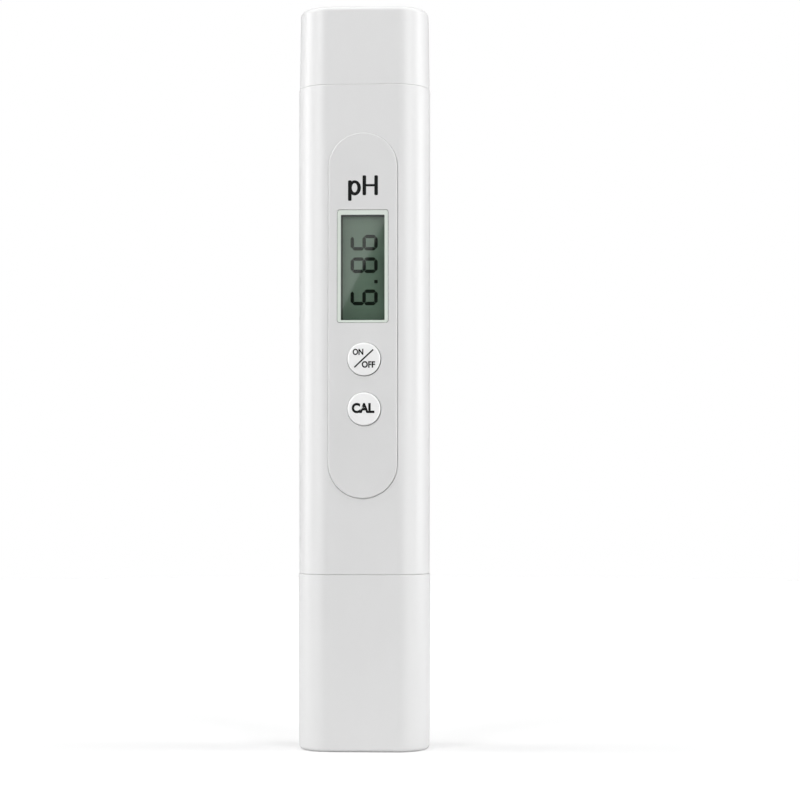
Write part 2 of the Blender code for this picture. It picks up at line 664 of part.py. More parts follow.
def make_guard():
    neck = 4.1 * MM
    inside = 4.8 * MM
    passage = 3.4 * MM
    shoulder = BASE_LOW - GAP
    foot = 7.0 * MM
    profile = [
        (neck, 34.0 * MM),
        (neck, shoulder),
        (GUARD_RADIUS - 0.5 * MM, shoulder),
        (GUARD_RADIUS, shoulder - 0.5 * MM),
        (GUARD_RADIUS, foot + 0.4 * MM),
        (GUARD_RADIUS - 0.4 * MM, foot),
        (inside, foot),
        (inside, 28.0 * MM),
        (passage, 28.0 * MM),
        (passage, 34.0 * MM),
    ]
    guard = turned("electrode_guard", GREY_PLASTIC, profile, (0.0, 0.0, 0.0), steps=32, hollow=True)
    half_slot = 2.1 * MM
    for name, turn in (("guard_slots_across", 0.0), ("guard_slots_through", math.pi / 2)):
        slot = box_mesh(name, (20.0 * MM, 2 * half_slot, 13.0 * MM))
        combine(guard, tool(name, slot, (0.0, 0.0, 16.5 * MM), (0.0, 0.0, turn)), "DIFFERENCE")


def make_side_pins():
    """The steel temperature pin on the right and the porous reference junction on the left."""
    pin_profile = [(0.0, 24.0 * MM), (SIDE_PIN_RADIUS, 24.0 * MM), (SIDE_PIN_RADIUS, 1.0 * MM)]
    for step in range(1, 5):
        angle = step * math.pi / 8
        pin_profile.append((SIDE_PIN_RADIUS * math.cos(angle), MM * (1.0 - math.sin(angle))))
    turned("temperature_pin", STEEL, pin_profile, (SIDE_PIN_PLACE, 0.0, 12.0 * MM), steps=20)
    junction = rod_mesh("reference_junction", SIDE_PIN_RADIUS, 6.4 * MM)
    place("reference_junction", junction, POROUS_WHITE, (-SIDE_PIN_PLACE, 0.0, 31.8 * MM))


for old_object in list(bpy.data.objects):
    bpy.data.objects.remove(old_object, do_unlink=True)

PARTS = start_collection("ph_meter")
CUTTERS = start_collection("ph_meter_cutters")

WHITE_PLASTIC = make_material("white_plastic", (0.82, 0.82, 0.82), 0.3)
GREY_PLASTIC = make_material("grey_plastic", (0.60, 0.60, 0.60), 0.4)
BLACK_PLASTIC = make_material("black_plastic", (0.03, 0.03, 0.03), 0.5)
CLEAR_PLASTIC = make_material("clear_plastic", (0.8, 0.85, 0.8), 0.05, alpha=0.35)
LCD_GLASS = make_material("lcd_glass", (0.25, 0.32, 0.26), 0.1)
LCD_REFLECTOR = make_material("lcd_reflector", (0.35, 0.42, 0.36), 0.4)
ELASTOMER = make_material("elastomer", (0.04, 0.04, 0.04), 0.8)
BOARD_GREEN = make_material("board_green", (0.02, 0.18, 0.07), 0.5)
STEEL = make_material("steel", (0.6, 0.6, 0.6), 0.3, metallic=1.0)
ALUMINIUM = make_material("aluminium", (0.7, 0.7, 0.72), 0.35, metallic=1.0)
PROBE_GLASS = make_material("probe_glass", (0.8, 0.85, 0.85), 0.05, alpha=0.35)
POROUS_WHITE = make_material("porous_white", (0.75, 0.74, 0.7), 0.9)
FOAM = make_material("foam", (0.75, 0.68, 0.3), 0.95)

# The keys stand proud of the front, so the middle line lies this far behind the middle of the whole meter
PEN_AXIS = bpy.data.objects.new("pen_axis", None)
PEN_AXIS.location = (0.0, (KEY_PROUD + CASE_FRONT - PANEL_FRONT) / 2, 0.0)
PARTS.objects.link(PEN_AXIS)

make_front_half()
make_rear_half()
make_panel()
make_display()
make_keys()
make_board()
make_screws()
make_battery_holder()
make_batteries()
make_battery_cap()
make_probe_cap()
make_probe_base()
make_electrode()
make_guard()
make_side_pins()
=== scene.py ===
"""Looks of the pen-shaped pH meter: its shells, keys, display, probe and batteries, with their materials.

Metres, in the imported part's own frame: +Z up along the meter, and its front faces -Y.
"""

import math

import bmesh
import bpy
from mathutils import Matrix, Vector


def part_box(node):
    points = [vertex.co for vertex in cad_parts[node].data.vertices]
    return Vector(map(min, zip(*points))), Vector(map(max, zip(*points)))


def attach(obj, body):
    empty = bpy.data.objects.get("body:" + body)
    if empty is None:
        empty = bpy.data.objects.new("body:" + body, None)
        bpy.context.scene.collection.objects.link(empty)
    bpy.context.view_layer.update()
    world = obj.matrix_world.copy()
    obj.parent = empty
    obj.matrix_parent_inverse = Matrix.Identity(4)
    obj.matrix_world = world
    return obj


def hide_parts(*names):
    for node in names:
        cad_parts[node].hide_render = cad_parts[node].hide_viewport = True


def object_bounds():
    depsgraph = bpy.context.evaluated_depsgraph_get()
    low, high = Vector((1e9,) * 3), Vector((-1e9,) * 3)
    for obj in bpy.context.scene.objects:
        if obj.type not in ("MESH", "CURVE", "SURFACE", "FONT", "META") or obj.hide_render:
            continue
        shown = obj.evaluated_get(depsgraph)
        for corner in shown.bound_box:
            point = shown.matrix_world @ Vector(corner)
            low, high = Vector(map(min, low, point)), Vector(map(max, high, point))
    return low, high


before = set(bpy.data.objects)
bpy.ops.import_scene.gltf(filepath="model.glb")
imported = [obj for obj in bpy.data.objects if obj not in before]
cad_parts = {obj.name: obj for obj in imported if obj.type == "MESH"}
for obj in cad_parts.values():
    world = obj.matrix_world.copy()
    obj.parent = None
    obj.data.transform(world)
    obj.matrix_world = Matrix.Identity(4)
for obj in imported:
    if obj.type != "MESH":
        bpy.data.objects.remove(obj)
CAD_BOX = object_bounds()

MM = 0.001
FACING_FRONT = (math.pi / 2, 0.0, 0.0)
FACING_BACK = (-math.pi / 2, 0.0, 0.0)
UPRIGHT = (0.0, 0.0, 0.0)
ORIGIN = (0.0, 0.0, 0.0)
CORNER_STEPS = 24
ROUND_STEPS = 96


def size_of(node):
    low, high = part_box(node)
    return high - low


def middle_of(node):
    low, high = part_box(node)
    return (low + high) / 2


def place_of(node, y):
    """The node's middle as seen from the front, at the depth y."""
    middle = middle_of(node)
    return Vector((middle.x, y, middle.z))


# The case: a tube that narrows a little towards its lower end
CASE_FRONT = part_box("front_shell")[0].y
CASE_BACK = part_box("rear_shell")[1].y
CASE_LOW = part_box("front_shell")[0].z
CASE_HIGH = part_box("front_shell")[1].z
AXIS_Y = (CASE_FRONT + CASE_BACK) / 2
ON_AXIS = (0.0, AXIS_Y, 0.0)
CASE_TOP_SIZE = Vector((size_of("front_shell").x, CASE_BACK - CASE_FRONT))
CASE_NARROWING = 0.4 * MM
CASE_LOW_SIZE = CASE_TOP_SIZE - Vector((CASE_NARROWING, 0.0))
CASE_CORNER = 7.0 * MM
CASE_WALL = 1.5 * MM
CASE_EDGE = 0.2 * MM
PARTING_GAP = 0.06 * MM
PARTING_EDGE = 0.12 * MM
SEAM_CLOSED = 0.13 * MM
RECESS_DEPTH = 0.8 * MM
RECESS_EDGE = 0.12 * MM
HOLE_EDGE = 0.1 * MM
SCREW_SEAT_WIDTH = 3.8 * MM
SCREW_SEAT_DEPTH = 2.0 * MM
SCREW_SEAT_EDGE = 0.2 * MM

# Caps
CAP_CORNER = 6.8 * MM
CAP_WALL = 1.2 * MM
CAP_RIM_EDGE = 0.16 * MM
CAP_FLOOR_EDGE = 0.6 * MM
CAP_MOUTH_EDGE = 0.1 * MM
BATTERY_CAP_TAPER = Vector((0.4 * MM, 0.3 * MM))
BATTERY_CAP_EDGE = 1.2 * MM
PROBE_CAP_TAPER = Vector((0.25 * MM, 0.2 * MM))
PROBE_CAP_EDGE = 0.8 * MM

# Panel plate, window and keys
PLATE_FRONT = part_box("panel_plate")[0].y
PLATE_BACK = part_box("panel_plate")[1].y
PLATE_EDGE = 0.25 * MM
PLATE_GAP = 0.05 * MM
PLATE_PUSHED = Vector((0.022 * MM, 0.0, -0.035 * MM))
LENS_CORNER = 0.5 * MM
LENS_EDGE = 0.06 * MM
LENS_GAP = 0.03 * MM
OPENING_LIP = 0.8 * MM
BORDER_THICKNESS = 0.03 * MM
OPENING_DROP = 0.28 * MM
# The dark ring behind the window is painted shadow of the opening's top and left edges; it is pushed to the
# lower right so that only those sides show.
SHADOW_RING_THICKNESS = 0.1 * MM
SHADOW_RING_PUSHED = Vector((0.36 * MM, -0.36 * MM))
KEY_RADIUS = 3.55 * MM
KEY_FLANGE_RADIUS = 4.3 * MM
KEY_FLANGE_RISE = 1.6 * MM
KEY_FLANGE_THICKNESS = 0.8 * MM
KEY_STEM_RADIUS = 1.5 * MM
KEY_GAP = 0.07 * MM
KEY_HOLE_EDGE = 0.22 * MM
KEY_PUSHED = Vector((0.06 * MM, 0.0, -0.06 * MM))
KEY_DOME = 0.16 * MM
KEY_CROWN_RADIUS = 3.0 * MM
KEY_EDGE_HEIGHT = 0.1 * MM
LEGEND_RISE = 0.04 * MM
KEY_PROUD = PLATE_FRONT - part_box("on_off_key")[0].y - LEGEND_RISE
PRINT_THICKNESS = 0.03 * MM

# Heading: each stem is (across, up, height), and each side of the bowl is (middle, size)
HEADING_STEMS = (
    (-2.78 * MM, 120.28 * MM, 4.44 * MM),
    (0.345 * MM, 121.42 * MM, 4.3 * MM),
    (2.885 * MM, 121.42 * MM, 4.3 * MM),
)
HEADING_STROKE = 0.77 * MM
HEADING_BAR = 0.5 * MM
HEADING_CORNER = 0.25 * MM
BOWL_OUTSIDE = ((-1.73 * MM, 120.87 * MM), (2.67 * MM, 3.26 * MM))
BOWL_INSIDE = ((-1.75 * MM, 120.9 * MM), (1.19 * MM, 1.97 * MM))

# Key words: (word, width, height, weight, across, up) from the middle of the key, in mm but for the weight
KEY_WORDS = {
    "on_off_key": (("ON", 2.3, 1.36, 0.035, -1.27, 1.5), ("OFF", 2.85, 1.42, 0.035, 0.97, -1.2)),
    "cal_key": (("CAL", 4.85, 2.2, 0.05, -0.18, 0.16),),
}
SLASH_LOW = Vector((-2.05 * MM, -1.8 * MM))
SLASH_HIGH = Vector((1.98 * MM, 2.0 * MM))
SLASH_WIDTH = 0.3 * MM

# Reading: its digits stand on their side, and each is (digit, place along the display)
DIGIT_HEIGHT = 5.86 * MM
DIGIT_WIDTH = 3.4 * MM
DIGIT_STROKE = 0.74 * MM
DIGIT_GAP = 0.04 * MM
READING = (("6", -6.55 * MM), ("8", 0.42 * MM), ("6", 5.3 * MM))
READING_OFFSET = 0.2 * MM
READING_UPWARD = (Matrix.Rotation(math.pi / 2, 3, "X") @ Matrix.Rotation(math.pi / 2, 3, "Z")).to_euler()
POINT_PLACE = -3.15 * MM
LIT = {"6": "acdefg", "8": "abcdefg"}
SEGMENTS = {
    "a": ((-1, 1), (1, 1)),
    "b": ((1, 1), (1, 0)),
    "c": ((1, 0), (1, -1)),
    "d": ((-1, -1), (1, -1)),
    "e": ((-1, 0), (-1, -1)),
    "f": ((-1, 1), (-1, 0)),
    "g": ((-1, 0), (1, 0)),
}

# Plugs in the ends of the case
PLUG_WIDTH = 24.8 * MM
PLUG_DEPTH = 12.2 * MM
PLUG_CORNER = 5.1 * MM
PLUG_EDGE = 0.3 * MM
SEAL_GROOVE_DEPTH = 1.0 * MM
SEAL_GROOVE_HEIGHT = 1.3 * MM
SEAL_RADIUS = 0.5 * MM
SEAL_CORNER = 4.8 * MM

# Plug bodies: the battery holder in the upper end of the case and the probe base in the lower end
HOLDER_TOP = 148.4 * MM
HOLDER_POCKET_END = 10.5 * MM
CELL_AXIS = Vector((0.0, AXIS_Y, 151.0 * MM))
CELL_RADIUS = 5.8 * MM
CELL_THICKNESS = 5.4 * MM
BOSS_PASSAGE = 2.8 * MM
BOSS_REACH = 8.0 * MM
BORE_EDGE = 0.2 * MM
BORE_ROOM = 0.3 * MM

# Probe
GLASS_STEM_RADIUS = 2.75 * MM
GLASS_WALL = 0.6 * MM
BULB_WALL = 0.45 * MM
GUARD_SOCKET_RADIUS = 4.4 * MM
GUARD_NECK_RADIUS = 4.1 * MM
GUARD_INNER_RADIUS = 4.8 * MM
GUARD_PASSAGE_RADIUS = 3.4 * MM
GUARD_STEP = 28.0 * MM
GUARD_SLOT_SIZE = (4.2 * MM, 13.0 * MM)
GUARD_SLOT_CORNER = 1.5 * MM
GUARD_SLOT_HEIGHT = 16.5 * MM
PIN_RADIUS = 1.2 * MM

# Studio: how bright it is at each angle from straight in front of the meter, the same to the left and right
FRONT_LEVELS = ((0, 0.0), (22, 0.0), (29, 1.5), (36, 2.85), (44, 3.2), (52, 1.75), (60, 0.15), (68, 0.15))
SIDE_LEVELS = ((77, 2.0), (87, 4.5), (97, 3.7), (108, 0.6), (125, 0.15), (180, 0.2))
STUDIO_LEVELS = FRONT_LEVELS + SIDE_LEVELS
BACKDROP_LEVEL = 1.0
FLOOR_RADIUS = 0.7
FLOOR_GLOW = 0.4
GLARE_PLACE = (-59.0 * MM, -0.8, 213.5 * MM)
GLARE_SIZE = (140.0 * MM, 40.0 * MM)
GLARE_LEAN = 64.4
GLARE_LEVEL = 0.75
OVERHEAD_HEIGHT = 1.3
OVERHEAD_SIZE = 0.38
OVERHEAD_LEVEL = 3.0

# The camera looks from a little right of the meter's front, slightly upwards
CAMERA_PLACE = (22.0 * MM, AXIS_Y - 0.397, 58.0 * MM)
CAMERA_PITCH = 1.75
CAMERA_TURN = 2.06
CAMERA_LENS = 81.8
CAMERA_SENSOR = 36.0
CAMERA_SHIFT = 0.031


# ---- shapes


def round_rectangle(width, depth, corner, steps=CORNER_STEPS):
    """Points round a rectangle with round corners; outlines with the same steps have equally many points."""
    points = []
    for quarter, (side_x, side_y) in enumerate(((1, 1), (-1, 1), (-1, -1), (1, -1))):
        middle = Vector((side_x * (width / 2 - corner), side_y * (depth / 2 - corner)))
        for step in range(steps + 1):
            angle = (quarter + step / steps) * math.pi / 2
            points.append(middle + corner * Vector((math.cos(angle), math.sin(angle))))
    return points


def ring(size, corner, height, inset=0.0):
    outline = round_rectangle(size[0] - 2 * inset, size[1] - 2 * inset, corner - inset)
    return [Vector((x, y, height)) for x, y in outline]


def loft(rings, joined=False):
    """A skin over rings of equally many points: closed by a face at each end, or joined end to end."""
    shape = bmesh.new()
    loops = [[shape.verts.new(point) for point in points] for points in rings]
    pairs = list(zip(loops, loops[1:]))
    if joined:
        pairs.append((loops[-1], loops[0]))
    else:
        shape.faces.new(list(reversed(loops[0])))
        shape.faces.new(loops[-1])
    for lower, upper in pairs:
        for index in range(len(lower)):
            shape.faces.new((lower[index - 1], lower[index], upper[index], upper[index - 1]))
    return shape


def rounding(radius, steps=5):
    """(inset, rise) pairs that round an edge off, from the side to the end."""
    angles = [step / steps * math.pi / 2 for step in range(steps + 1)]
    return [(radius * (1 - math.cos(angle)), radius * math.sin(angle)) for angle in angles]


def low_end(size, corner, height, edge):
    """The rings that round off a block's lower end, from below."""
    return [ring(size, corner, height + edge - rise, inset) for inset, rise in reversed(rounding(edge))]


def high_end(size, corner, height, edge):
    return [ring(size, corner, height - edge + rise, inset) for inset, rise in rounding(edge)]


def thicken(shape, way):
    """Turns the shape's flat faces into slabs, by the vector way."""
    raised = bmesh.ops.extrude_face_region(shape, geom=list(shape.faces))
    moved = [part for part in raised["geom"] if isinstance(part, bmesh.types.BMVert)]
    bmesh.ops.translate(shape, vec=way, verts=moved)


def mesh_of(name, shape, sharp_angle=35.0):
    mesh = bpy.data.meshes.new(name)
    bmesh.ops.remove_doubles(shape, verts=shape.verts, dist=0.0005 * MM)
    bmesh.ops.recalc_face_normals(shape, faces=shape.faces)
    shape.to_mesh(mesh)
    shape.free()
    mesh.shade_smooth()
    mesh.set_sharp_from_angle(angle=math.radians(sharp_angle))
    return mesh


def link(name, data, location=ORIGIN, rotation=UPRIGHT):
    thing = bpy.data.objects.new(name, data)
    thing.location = location
    thing.rotation_euler = rotation
    bpy.context.scene.collection.objects.link(thing)
    return thing


def solid_from(thing, sharp_angle=35.0):
    """Replaces the object by the plain mesh that its modifiers or its curve make."""
    bpy.context.view_layer.update()
    evaluated = thing.evaluated_get(bpy.context.evaluated_depsgraph_get())
    mesh = bpy.data.meshes.new_from_object(evaluated)
    shape = bmesh.new()
    shape.from_mesh(mesh)
    name, location, rotation = thing.name, thing.location.copy(), thing.rotation_euler.copy()
    bpy.data.objects.remove(thing)
    bpy.data.meshes.remove(mesh)
    return link(name, mesh_of(name, shape, sharp_angle), location, rotation)


def cut(thing, *cutters, operation="DIFFERENCE"):
    """Takes the cutters out of the object, or joins them to it, and removes them."""
    for cutter in cutters:
        modifier = thing.modifiers.new(cutter.name, "BOOLEAN")
        modifier.operation = operation
        modifier.solver = "EXACT"
        modifier.object = cutter
    solid = solid_from(thing)
    for cutter in cutters:
        bpy.data.objects.remove(cutter)
    return solid


def finish(thing, material, slot, *nodes, body="case"):
    """Makes the object a visible piece: its material, the CAD nodes it hides and its body. The slot argument
    is not used.
    """
    thing.data.materials.clear()
    thing.data.materials.append(material)
    shading = thing.modifiers.new("even_shading", "WEIGHTED_NORMAL")
    shading.keep_sharp = True
    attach(thing, body)
    if nodes:
        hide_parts(*nodes)
    return thing


def block(name, size, corner, low, high, low_edge=0.0, high_edge=0.0, location=ORIGIN, rotation=UPRIGHT):
    """An upright block with round corners and rounded end edges, from low to high along its own Z."""
    rings = low_end(size, corner, low, low_edge) + high_end(size, corner, high, high_edge)
    return link(name, mesh_of(name, loft(rings)), location, rotation)


def hole(name, size, corner, depth, flare, location, rotation=FACING_FRONT):
    """A cutter that sinks depth below a face at its own z = 0; a flared mouth rounds the edge off."""
    rings = [ring(size, corner, -depth)]
    rings += [ring(size, corner, rise - flare, inset=-outset) for outset, rise in rounding(flare)]
    rings.append(ring(size, corner, 5 * flare, inset=-flare))
    return link(name, mesh_of(name, loft(rings)), location, rotation)


def turned(name, profile, location=ORIGIN, rotation=UPRIGHT, hollow=False):
    """A turned piece: the profile's (radius, height) points run from the top down the outer side."""
    edges = [(index, index + 1) for index in range(len(profile) - 1)]
    if hollow:
        edges.append((len(profile) - 1, 0))
    mesh = bpy.data.meshes.new(name)
    mesh.from_pydata([(radius, 0.0, height) for radius, height in profile], edges, [])
    thing = link(name, mesh, location, rotation)
    turn = thing.modifiers.new("turn", "SCREW")
    turn.steps = ROUND_STEPS
    turn.render_steps = ROUND_STEPS
    turn.use_merge_vertices = True
    turn.merge_threshold = 0.002 * MM
    return solid_from(thing)


def tube(name, points, radius, closed=False):
    """A round wire or ring along the points."""
    curve = bpy.data.curves.new(name, "CURVE")
    curve.dimensions = "3D"
    curve.bevel_depth = radius
    curve.bevel_resolution = 6
    curve.use_fill_caps = not closed
    spline = curve.splines.new("POLY")
    spline.points.add(len(points) - 1)
    for spline_point, point in zip(spline.points, points):
        spline_point.co = (*point, 1.0)
    spline.use_cyclic_u = closed
    return solid_from(link(name, curve), 60.0)


def lettering(name, words, width, height, weight):
    """Flat letters in their own XY plane, centred and scaled to the given width and height, as a mesh."""
    text = bpy.data.curves.new(name, "FONT")
    text.body = words
    text.offset = weight
    half_thickness = 0.01
    text.extrude = half_thickness
    text.resolution_u = 8
    thing = solid_from(link(name, text))
    points = [vert.co for vert in thing.data.vertices]
    low = Vector(min(point[axis] for point in points) for axis in range(3))
    high = Vector(max(point[axis] for point in points) for axis in range(3))
    size = high - low
    thinning = PRINT_THICKNESS / (2 * half_thickness)
    scale = Matrix.Diagonal((width / size.x, height / size.y, thinning, 1.0))
    thing.data.transform(scale @ Matrix.Translation(-(low + high) / 2))
    return thing


# ---- materials


def plain_material(name, colour, roughness, **sockets):
    """A Principled BSDF; the sockets are named with _ for each space."""
    made = bpy.data.materials.new(name)
    made.use_nodes = True
    shader = made.node_tree.nodes["Principled BSDF"]
    shader.inputs["Base Color"].default_value = (*colour, 1.0)
    shader.inputs["Roughness"].default_value = roughness
    for socket, value in sockets.items():
        shader.inputs[socket.replace("_", " ")].default_value = value
    return made


def pattern(made, kind, scale, stretch=(1.0, 1.0, 1.0), **inputs):
    """A texture node in the object's own coordinates, with scale features to the metre."""
    nodes, links = made.node_tree.nodes, made.node_tree.links
    place = nodes.new("ShaderNodeTexCoord")
    mapping = nodes.new("ShaderNodeMapping")
    mapping.inputs["Scale"].default_value = stretch
    texture = nodes.new(kind)
    texture.inputs["Scale"].default_value = scale
    for socket, value in inputs.items():
        texture.inputs[socket.replace("_", " ")].default_value = value
    links.new(place.outputs["Object"], mapping.inputs["Vector"])
    links.new(mapping.outputs["Vector"], texture.inputs["Vector"])
    return texture


def feed(made, output, socket):
    made.node_tree.links.new(output, made.node_tree.nodes["Principled BSDF"].inputs[socket])


def noise(made, scale, stretch=(1.0, 1.0, 1.0), detail=3.0):
    return pattern(made, "ShaderNodeTexNoise", scale, stretch, Detail=detail, Roughness=0.6).outputs["Fac"]


def colour_by(made, factor, *stops):
    """Base colour from a factor; each stop is (place, colour)."""
    ramp = made.node_tree.nodes.new("ShaderNodeValToRGB")
    elements = ramp.color_ramp.elements
    while len(elements) < len(stops):
        elements.new(0.5)
    for element, (place, colour) in zip(elements, stops):
        element.position = place
        element.color = (*colour, 1.0)
    made.node_tree.links.new(factor, ramp.inputs["Fac"])
    feed(made, ramp.outputs["Color"], "Base Color")


def roughness_by(made, factor, low, high):
    spread = made.node_tree.nodes.new("ShaderNodeMapRange")
    spread.inputs["From Min"].default_value = 0.3
    spread.inputs["From Max"].default_value = 0.7
    spread.inputs["To Min"].default_value = low
    spread.inputs["To Max"].default_value = high
    made.node_tree.links.new(factor, spread.inputs["Value"])
    feed(made, spread.outputs["Result"], "Roughness")


def relief(made, factor, depth):
    """Small relief of the surface, depth metres high."""
    bump = made.node_tree.nodes.new("ShaderNodeBump")
    bump.inputs["Strength"].default_value = 1.0
    bump.inputs["Distance"].default_value = depth
    made.node_tree.links.new(factor, bump.inputs["Height"])
    feed(made, bump.outputs["Normal"], "Normal")


def grey(value):
    return (value, value, value)


def moulded_plastic(name, dark, light, smooth, rough, grain=0.0015 * MM):
    """Moulded plastic: faint clouds in its colour and gloss, and a fine even grain."""
    made = plain_material(name, light, rough, IOR=1.5)
    clouds = noise(made, 45.0, (1.0, 1.0, 0.35))
    colour_by(made, clouds, (0.3, dark), (0.7, light))
    roughness_by(made, noise(made, 90.0, detail=1.0), smooth, rough)
    relief(made, noise(made, 1800.0, detail=2.0), grain)
    return made


def brushed_metal(name, dark, light, stretch, smooth=0.22, rough=0.4):
    """Drawn or turned metal: fine lines along one direction."""
    made = plain_material(name, light, rough, Metallic=1.0)
    lines = noise(made, 900.0, stretch, detail=4.0)
    colour_by(made, lines, (0.3, dark), (0.7, light))
    roughness_by(made, noise(made, 700.0, stretch), smooth, rough)
    relief(made, lines, 0.002 * MM)
    return made


def rubber(name):
    made = plain_material(name, grey(0.02), 0.6)
    dust = noise(made, 320.0, detail=5.0)
    colour_by(made, dust, (0.35, grey(0.012)), (0.75, grey(0.035)))
    roughness_by(made, dust, 0.5, 0.75)
    relief(made, noise(made, 3000.0), 0.004 * MM)
    return made


def foam_rubber():
    """Open-cell foam, with pores about 0.4 mm wide; its colour is darker in the pores, which is painted
    shade.
    """
    made = plain_material("foam", (0.7, 0.6, 0.24), 0.95, Sheen_Weight=0.3)
    pores = pattern(made, "ShaderNodeTexVoronoi", 2600.0, Randomness=1.0).outputs["Distance"]
    # Darker where the relief sinks into the pores: painted shade.
    colour_by(made, pores, (0.05, (0.42, 0.33, 0.1)), (0.45, (0.78, 0.68, 0.3)))
    relief(made, pores, 0.12 * MM)
    return made


def clear_plastic(name, tint, smooth, rough):
    made = plain_material(name, tint, smooth, IOR=1.49, Transmission_Weight=1.0)
    roughness_by(made, noise(made, 400.0), smooth, rough)
    colour_by(made, noise(made, 60.0), (0.2, tint), (0.8, tuple(0.985 * part for part in tint)))
    return made


def lcd_surface(name, dark, light, smooth, rough, index):
    """The LCD's grey-green, with a faint brushed grain along the display from its reflector."""
    made = plain_material(name, light, rough, IOR=index)
    colour_by(made, noise(made, 70.0, (1.0, 1.0, 0.6)), (0.25, dark), (0.75, light))
    roughness_by(made, noise(made, 900.0, (1.0, 1.0, 0.2)), smooth, rough)
    relief(made, noise(made, 6000.0, (1.0, 1.0, 0.1)), 0.0004 * MM)
    return made


def ink(name, colour):
    """Printed ink or paint: matt, with a slightly uneven film."""
    made = plain_material(name, colour, 0.45, Specular_IOR_Level=0.15)
    film = noise(made, 1500.0, detail=4.0)
    colour_by(made, film, (0.3, colour), (0.8, tuple(part * 1.5 + 0.003 for part in colour)))
    roughness_by(made, film, 0.38, 0.55)
    relief(made, film, 0.002 * MM)
    return made


def circuit_board():
    """Green solder mask over copper tracks."""
    made = plain_material("circuit_board", (0.01, 0.13, 0.05), 0.35, IOR=1.5)
    tracks = pattern(made, "ShaderNodeTexBrick", 320.0, Mortar_Size=0.06, Brick_Width=1.4, Row_Height=0.4)
    tracks.inputs["Color1"].default_value = (0.006, 0.10, 0.035, 1.0)
    tracks.inputs["Color2"].default_value = (0.008, 0.12, 0.045, 1.0)
    tracks.inputs["Mortar"].default_value = (0.03, 0.24, 0.09, 1.0)
    feed(made, tracks.outputs["Color"], "Base Color")
    roughness_by(made, noise(made, 500.0), 0.25, 0.4)
    relief(made, tracks.outputs["Fac"], 0.03 * MM)
    return made


def porous_ceramic():
    made = plain_material("porous_ceramic", grey(0.72), 0.9)
    grains = pattern(made, "ShaderNodeTexVoronoi", 4200.0, Randomness=1.0).outputs["Distance"]
    colour_by(made, grains, (0.1, (0.62, 0.6, 0.55)), (0.6, (0.82, 0.81, 0.77)))
    relief(made, grains, 0.05 * MM)
    return made


def silver_wire():
    """Silver, with the dark chloride coat in patches."""
    made = plain_material("silver_wire", (0.8, 0.8, 0.78), 0.35, Metallic=0.9)
    coat = noise(made, 350.0, (1.0, 1.0, 0.4), detail=5.0)
    colour_by(made, coat, (0.45, (0.12, 0.1, 0.1)), (0.6, (0.75, 0.74, 0.72)))
    roughness_by(made, coat, 0.6, 0.25)
    return made


WHITE = moulded_plastic("white_plastic", grey(0.765), grey(0.79), 0.285, 0.34)
PLATE_WHITE = moulded_plastic("plate_plastic", grey(0.735), grey(0.76), 0.36, 0.44)
KEY_WHITE = moulded_plastic("key_plastic", grey(0.92), grey(0.95), 0.16, 0.22, 0.0006 * MM)
GREY = moulded_plastic("grey_plastic", grey(0.50), grey(0.56), 0.34, 0.44, 0.004 * MM)
BLACK = moulded_plastic("black_plastic", grey(0.014), grey(0.024), 0.34, 0.5, 0.006 * MM)
RUBBER = rubber("elastomer")
WINDOW = clear_plastic("clear_window", (0.90, 0.95, 0.90), 0.01, 0.025)
PROBE_GLASS = clear_plastic("probe_glass", (0.93, 0.97, 0.97), 0.0, 0.02)
BORDER_PRINT = moulded_plastic("border_print", (0.72, 0.785, 0.72), (0.75, 0.815, 0.75), 0.36, 0.44)
# Near-black ring behind the window: painted shadow inside the opening's top and left edges.
WINDOW_SHADOW_RING = moulded_plastic("window_shadow_ring", (0.045, 0.055, 0.045), (0.065, 0.08, 0.065), 0.4, 0.5)
LCD_FACE = lcd_surface("lcd_glass", (0.25, 0.34, 0.28), (0.29, 0.39, 0.32), 0.05, 0.08, 1.75)
LCD_MIRROR = lcd_surface("lcd_reflector", (0.26, 0.33, 0.26), (0.31, 0.37, 0.3), 0.3, 0.45, 1.45)
LCD_INK = ink("lcd_ink", (0.006, 0.012, 0.008))
LEGEND_INK = ink("legend_ink", grey(0.008))
STEEL = brushed_metal("steel", grey(0.45), grey(0.62), (1.0, 1.0, 0.05))
CELL_STEEL = brushed_metal("cell_steel", grey(0.5), grey(0.68), (0.05, 1.0, 1.0), 0.16, 0.3)
SCREW_STEEL = brushed_metal("screw_steel", grey(0.35), grey(0.55), (1.0, 0.3, 1.0))
ALUMINIUM = brushed_metal("aluminium", (0.6, 0.6, 0.62), (0.75, 0.75, 0.77), (0.3, 1.0, 0.3))
BOARD = circuit_board()
CERAMIC = porous_ceramic()
SILVER = silver_wire()
FOAM = foam_rubber()


# ---- case


def case_size(height):
    share = (height - CASE_LOW) / (CASE_HIGH - CASE_LOW)
    return CASE_LOW_SIZE.lerp(CASE_TOP_SIZE, share)


def case_half(name, side):
    """One half of the case; side is -1 at the front, 1 at the rear."""
    low, high = CASE_LOW - SEAM_CLOSED, CASE_HIGH + SEAM_CLOSED
    ends = [(inset, low + CASE_EDGE - rise) for inset, rise in reversed(rounding(CASE_EDGE))]
    ends += [(inset, high - CASE_EDGE + rise) for inset, rise in rounding(CASE_EDGE)]
    ends += [(CASE_WALL, high), (CASE_WALL, low)]
    tube_wall = loft([ring(case_size(z), CASE_CORNER, z, inset) for inset, z in ends], joined=True)
    everything = [*tube_wall.verts, *tube_wall.edges, *tube_wall.faces]
    split = Vector((0.0, side * PARTING_GAP / 2, 0.0))
    away = Vector((0.0, -side, 0.0))
    bmesh.ops.bisect_plane(tube_wall, geom=everything, plane_co=split, plane_no=away, clear_outer=True)
    open_edges = [edge for edge in tube_wall.edges if edge.is_boundary]
    filled = bmesh.ops.holes_fill(tube_wall, edges=open_edges, sides=0)
    rim = {edge for face in filled["faces"] for edge in face.edges}
    bmesh.ops.bevel(tube_wall, geom=list(rim), offset=PARTING_EDGE, segments=2, profile=0.5, affect="EDGES")
    return link(name, mesh_of(name, tube_wall), ON_AXIS)


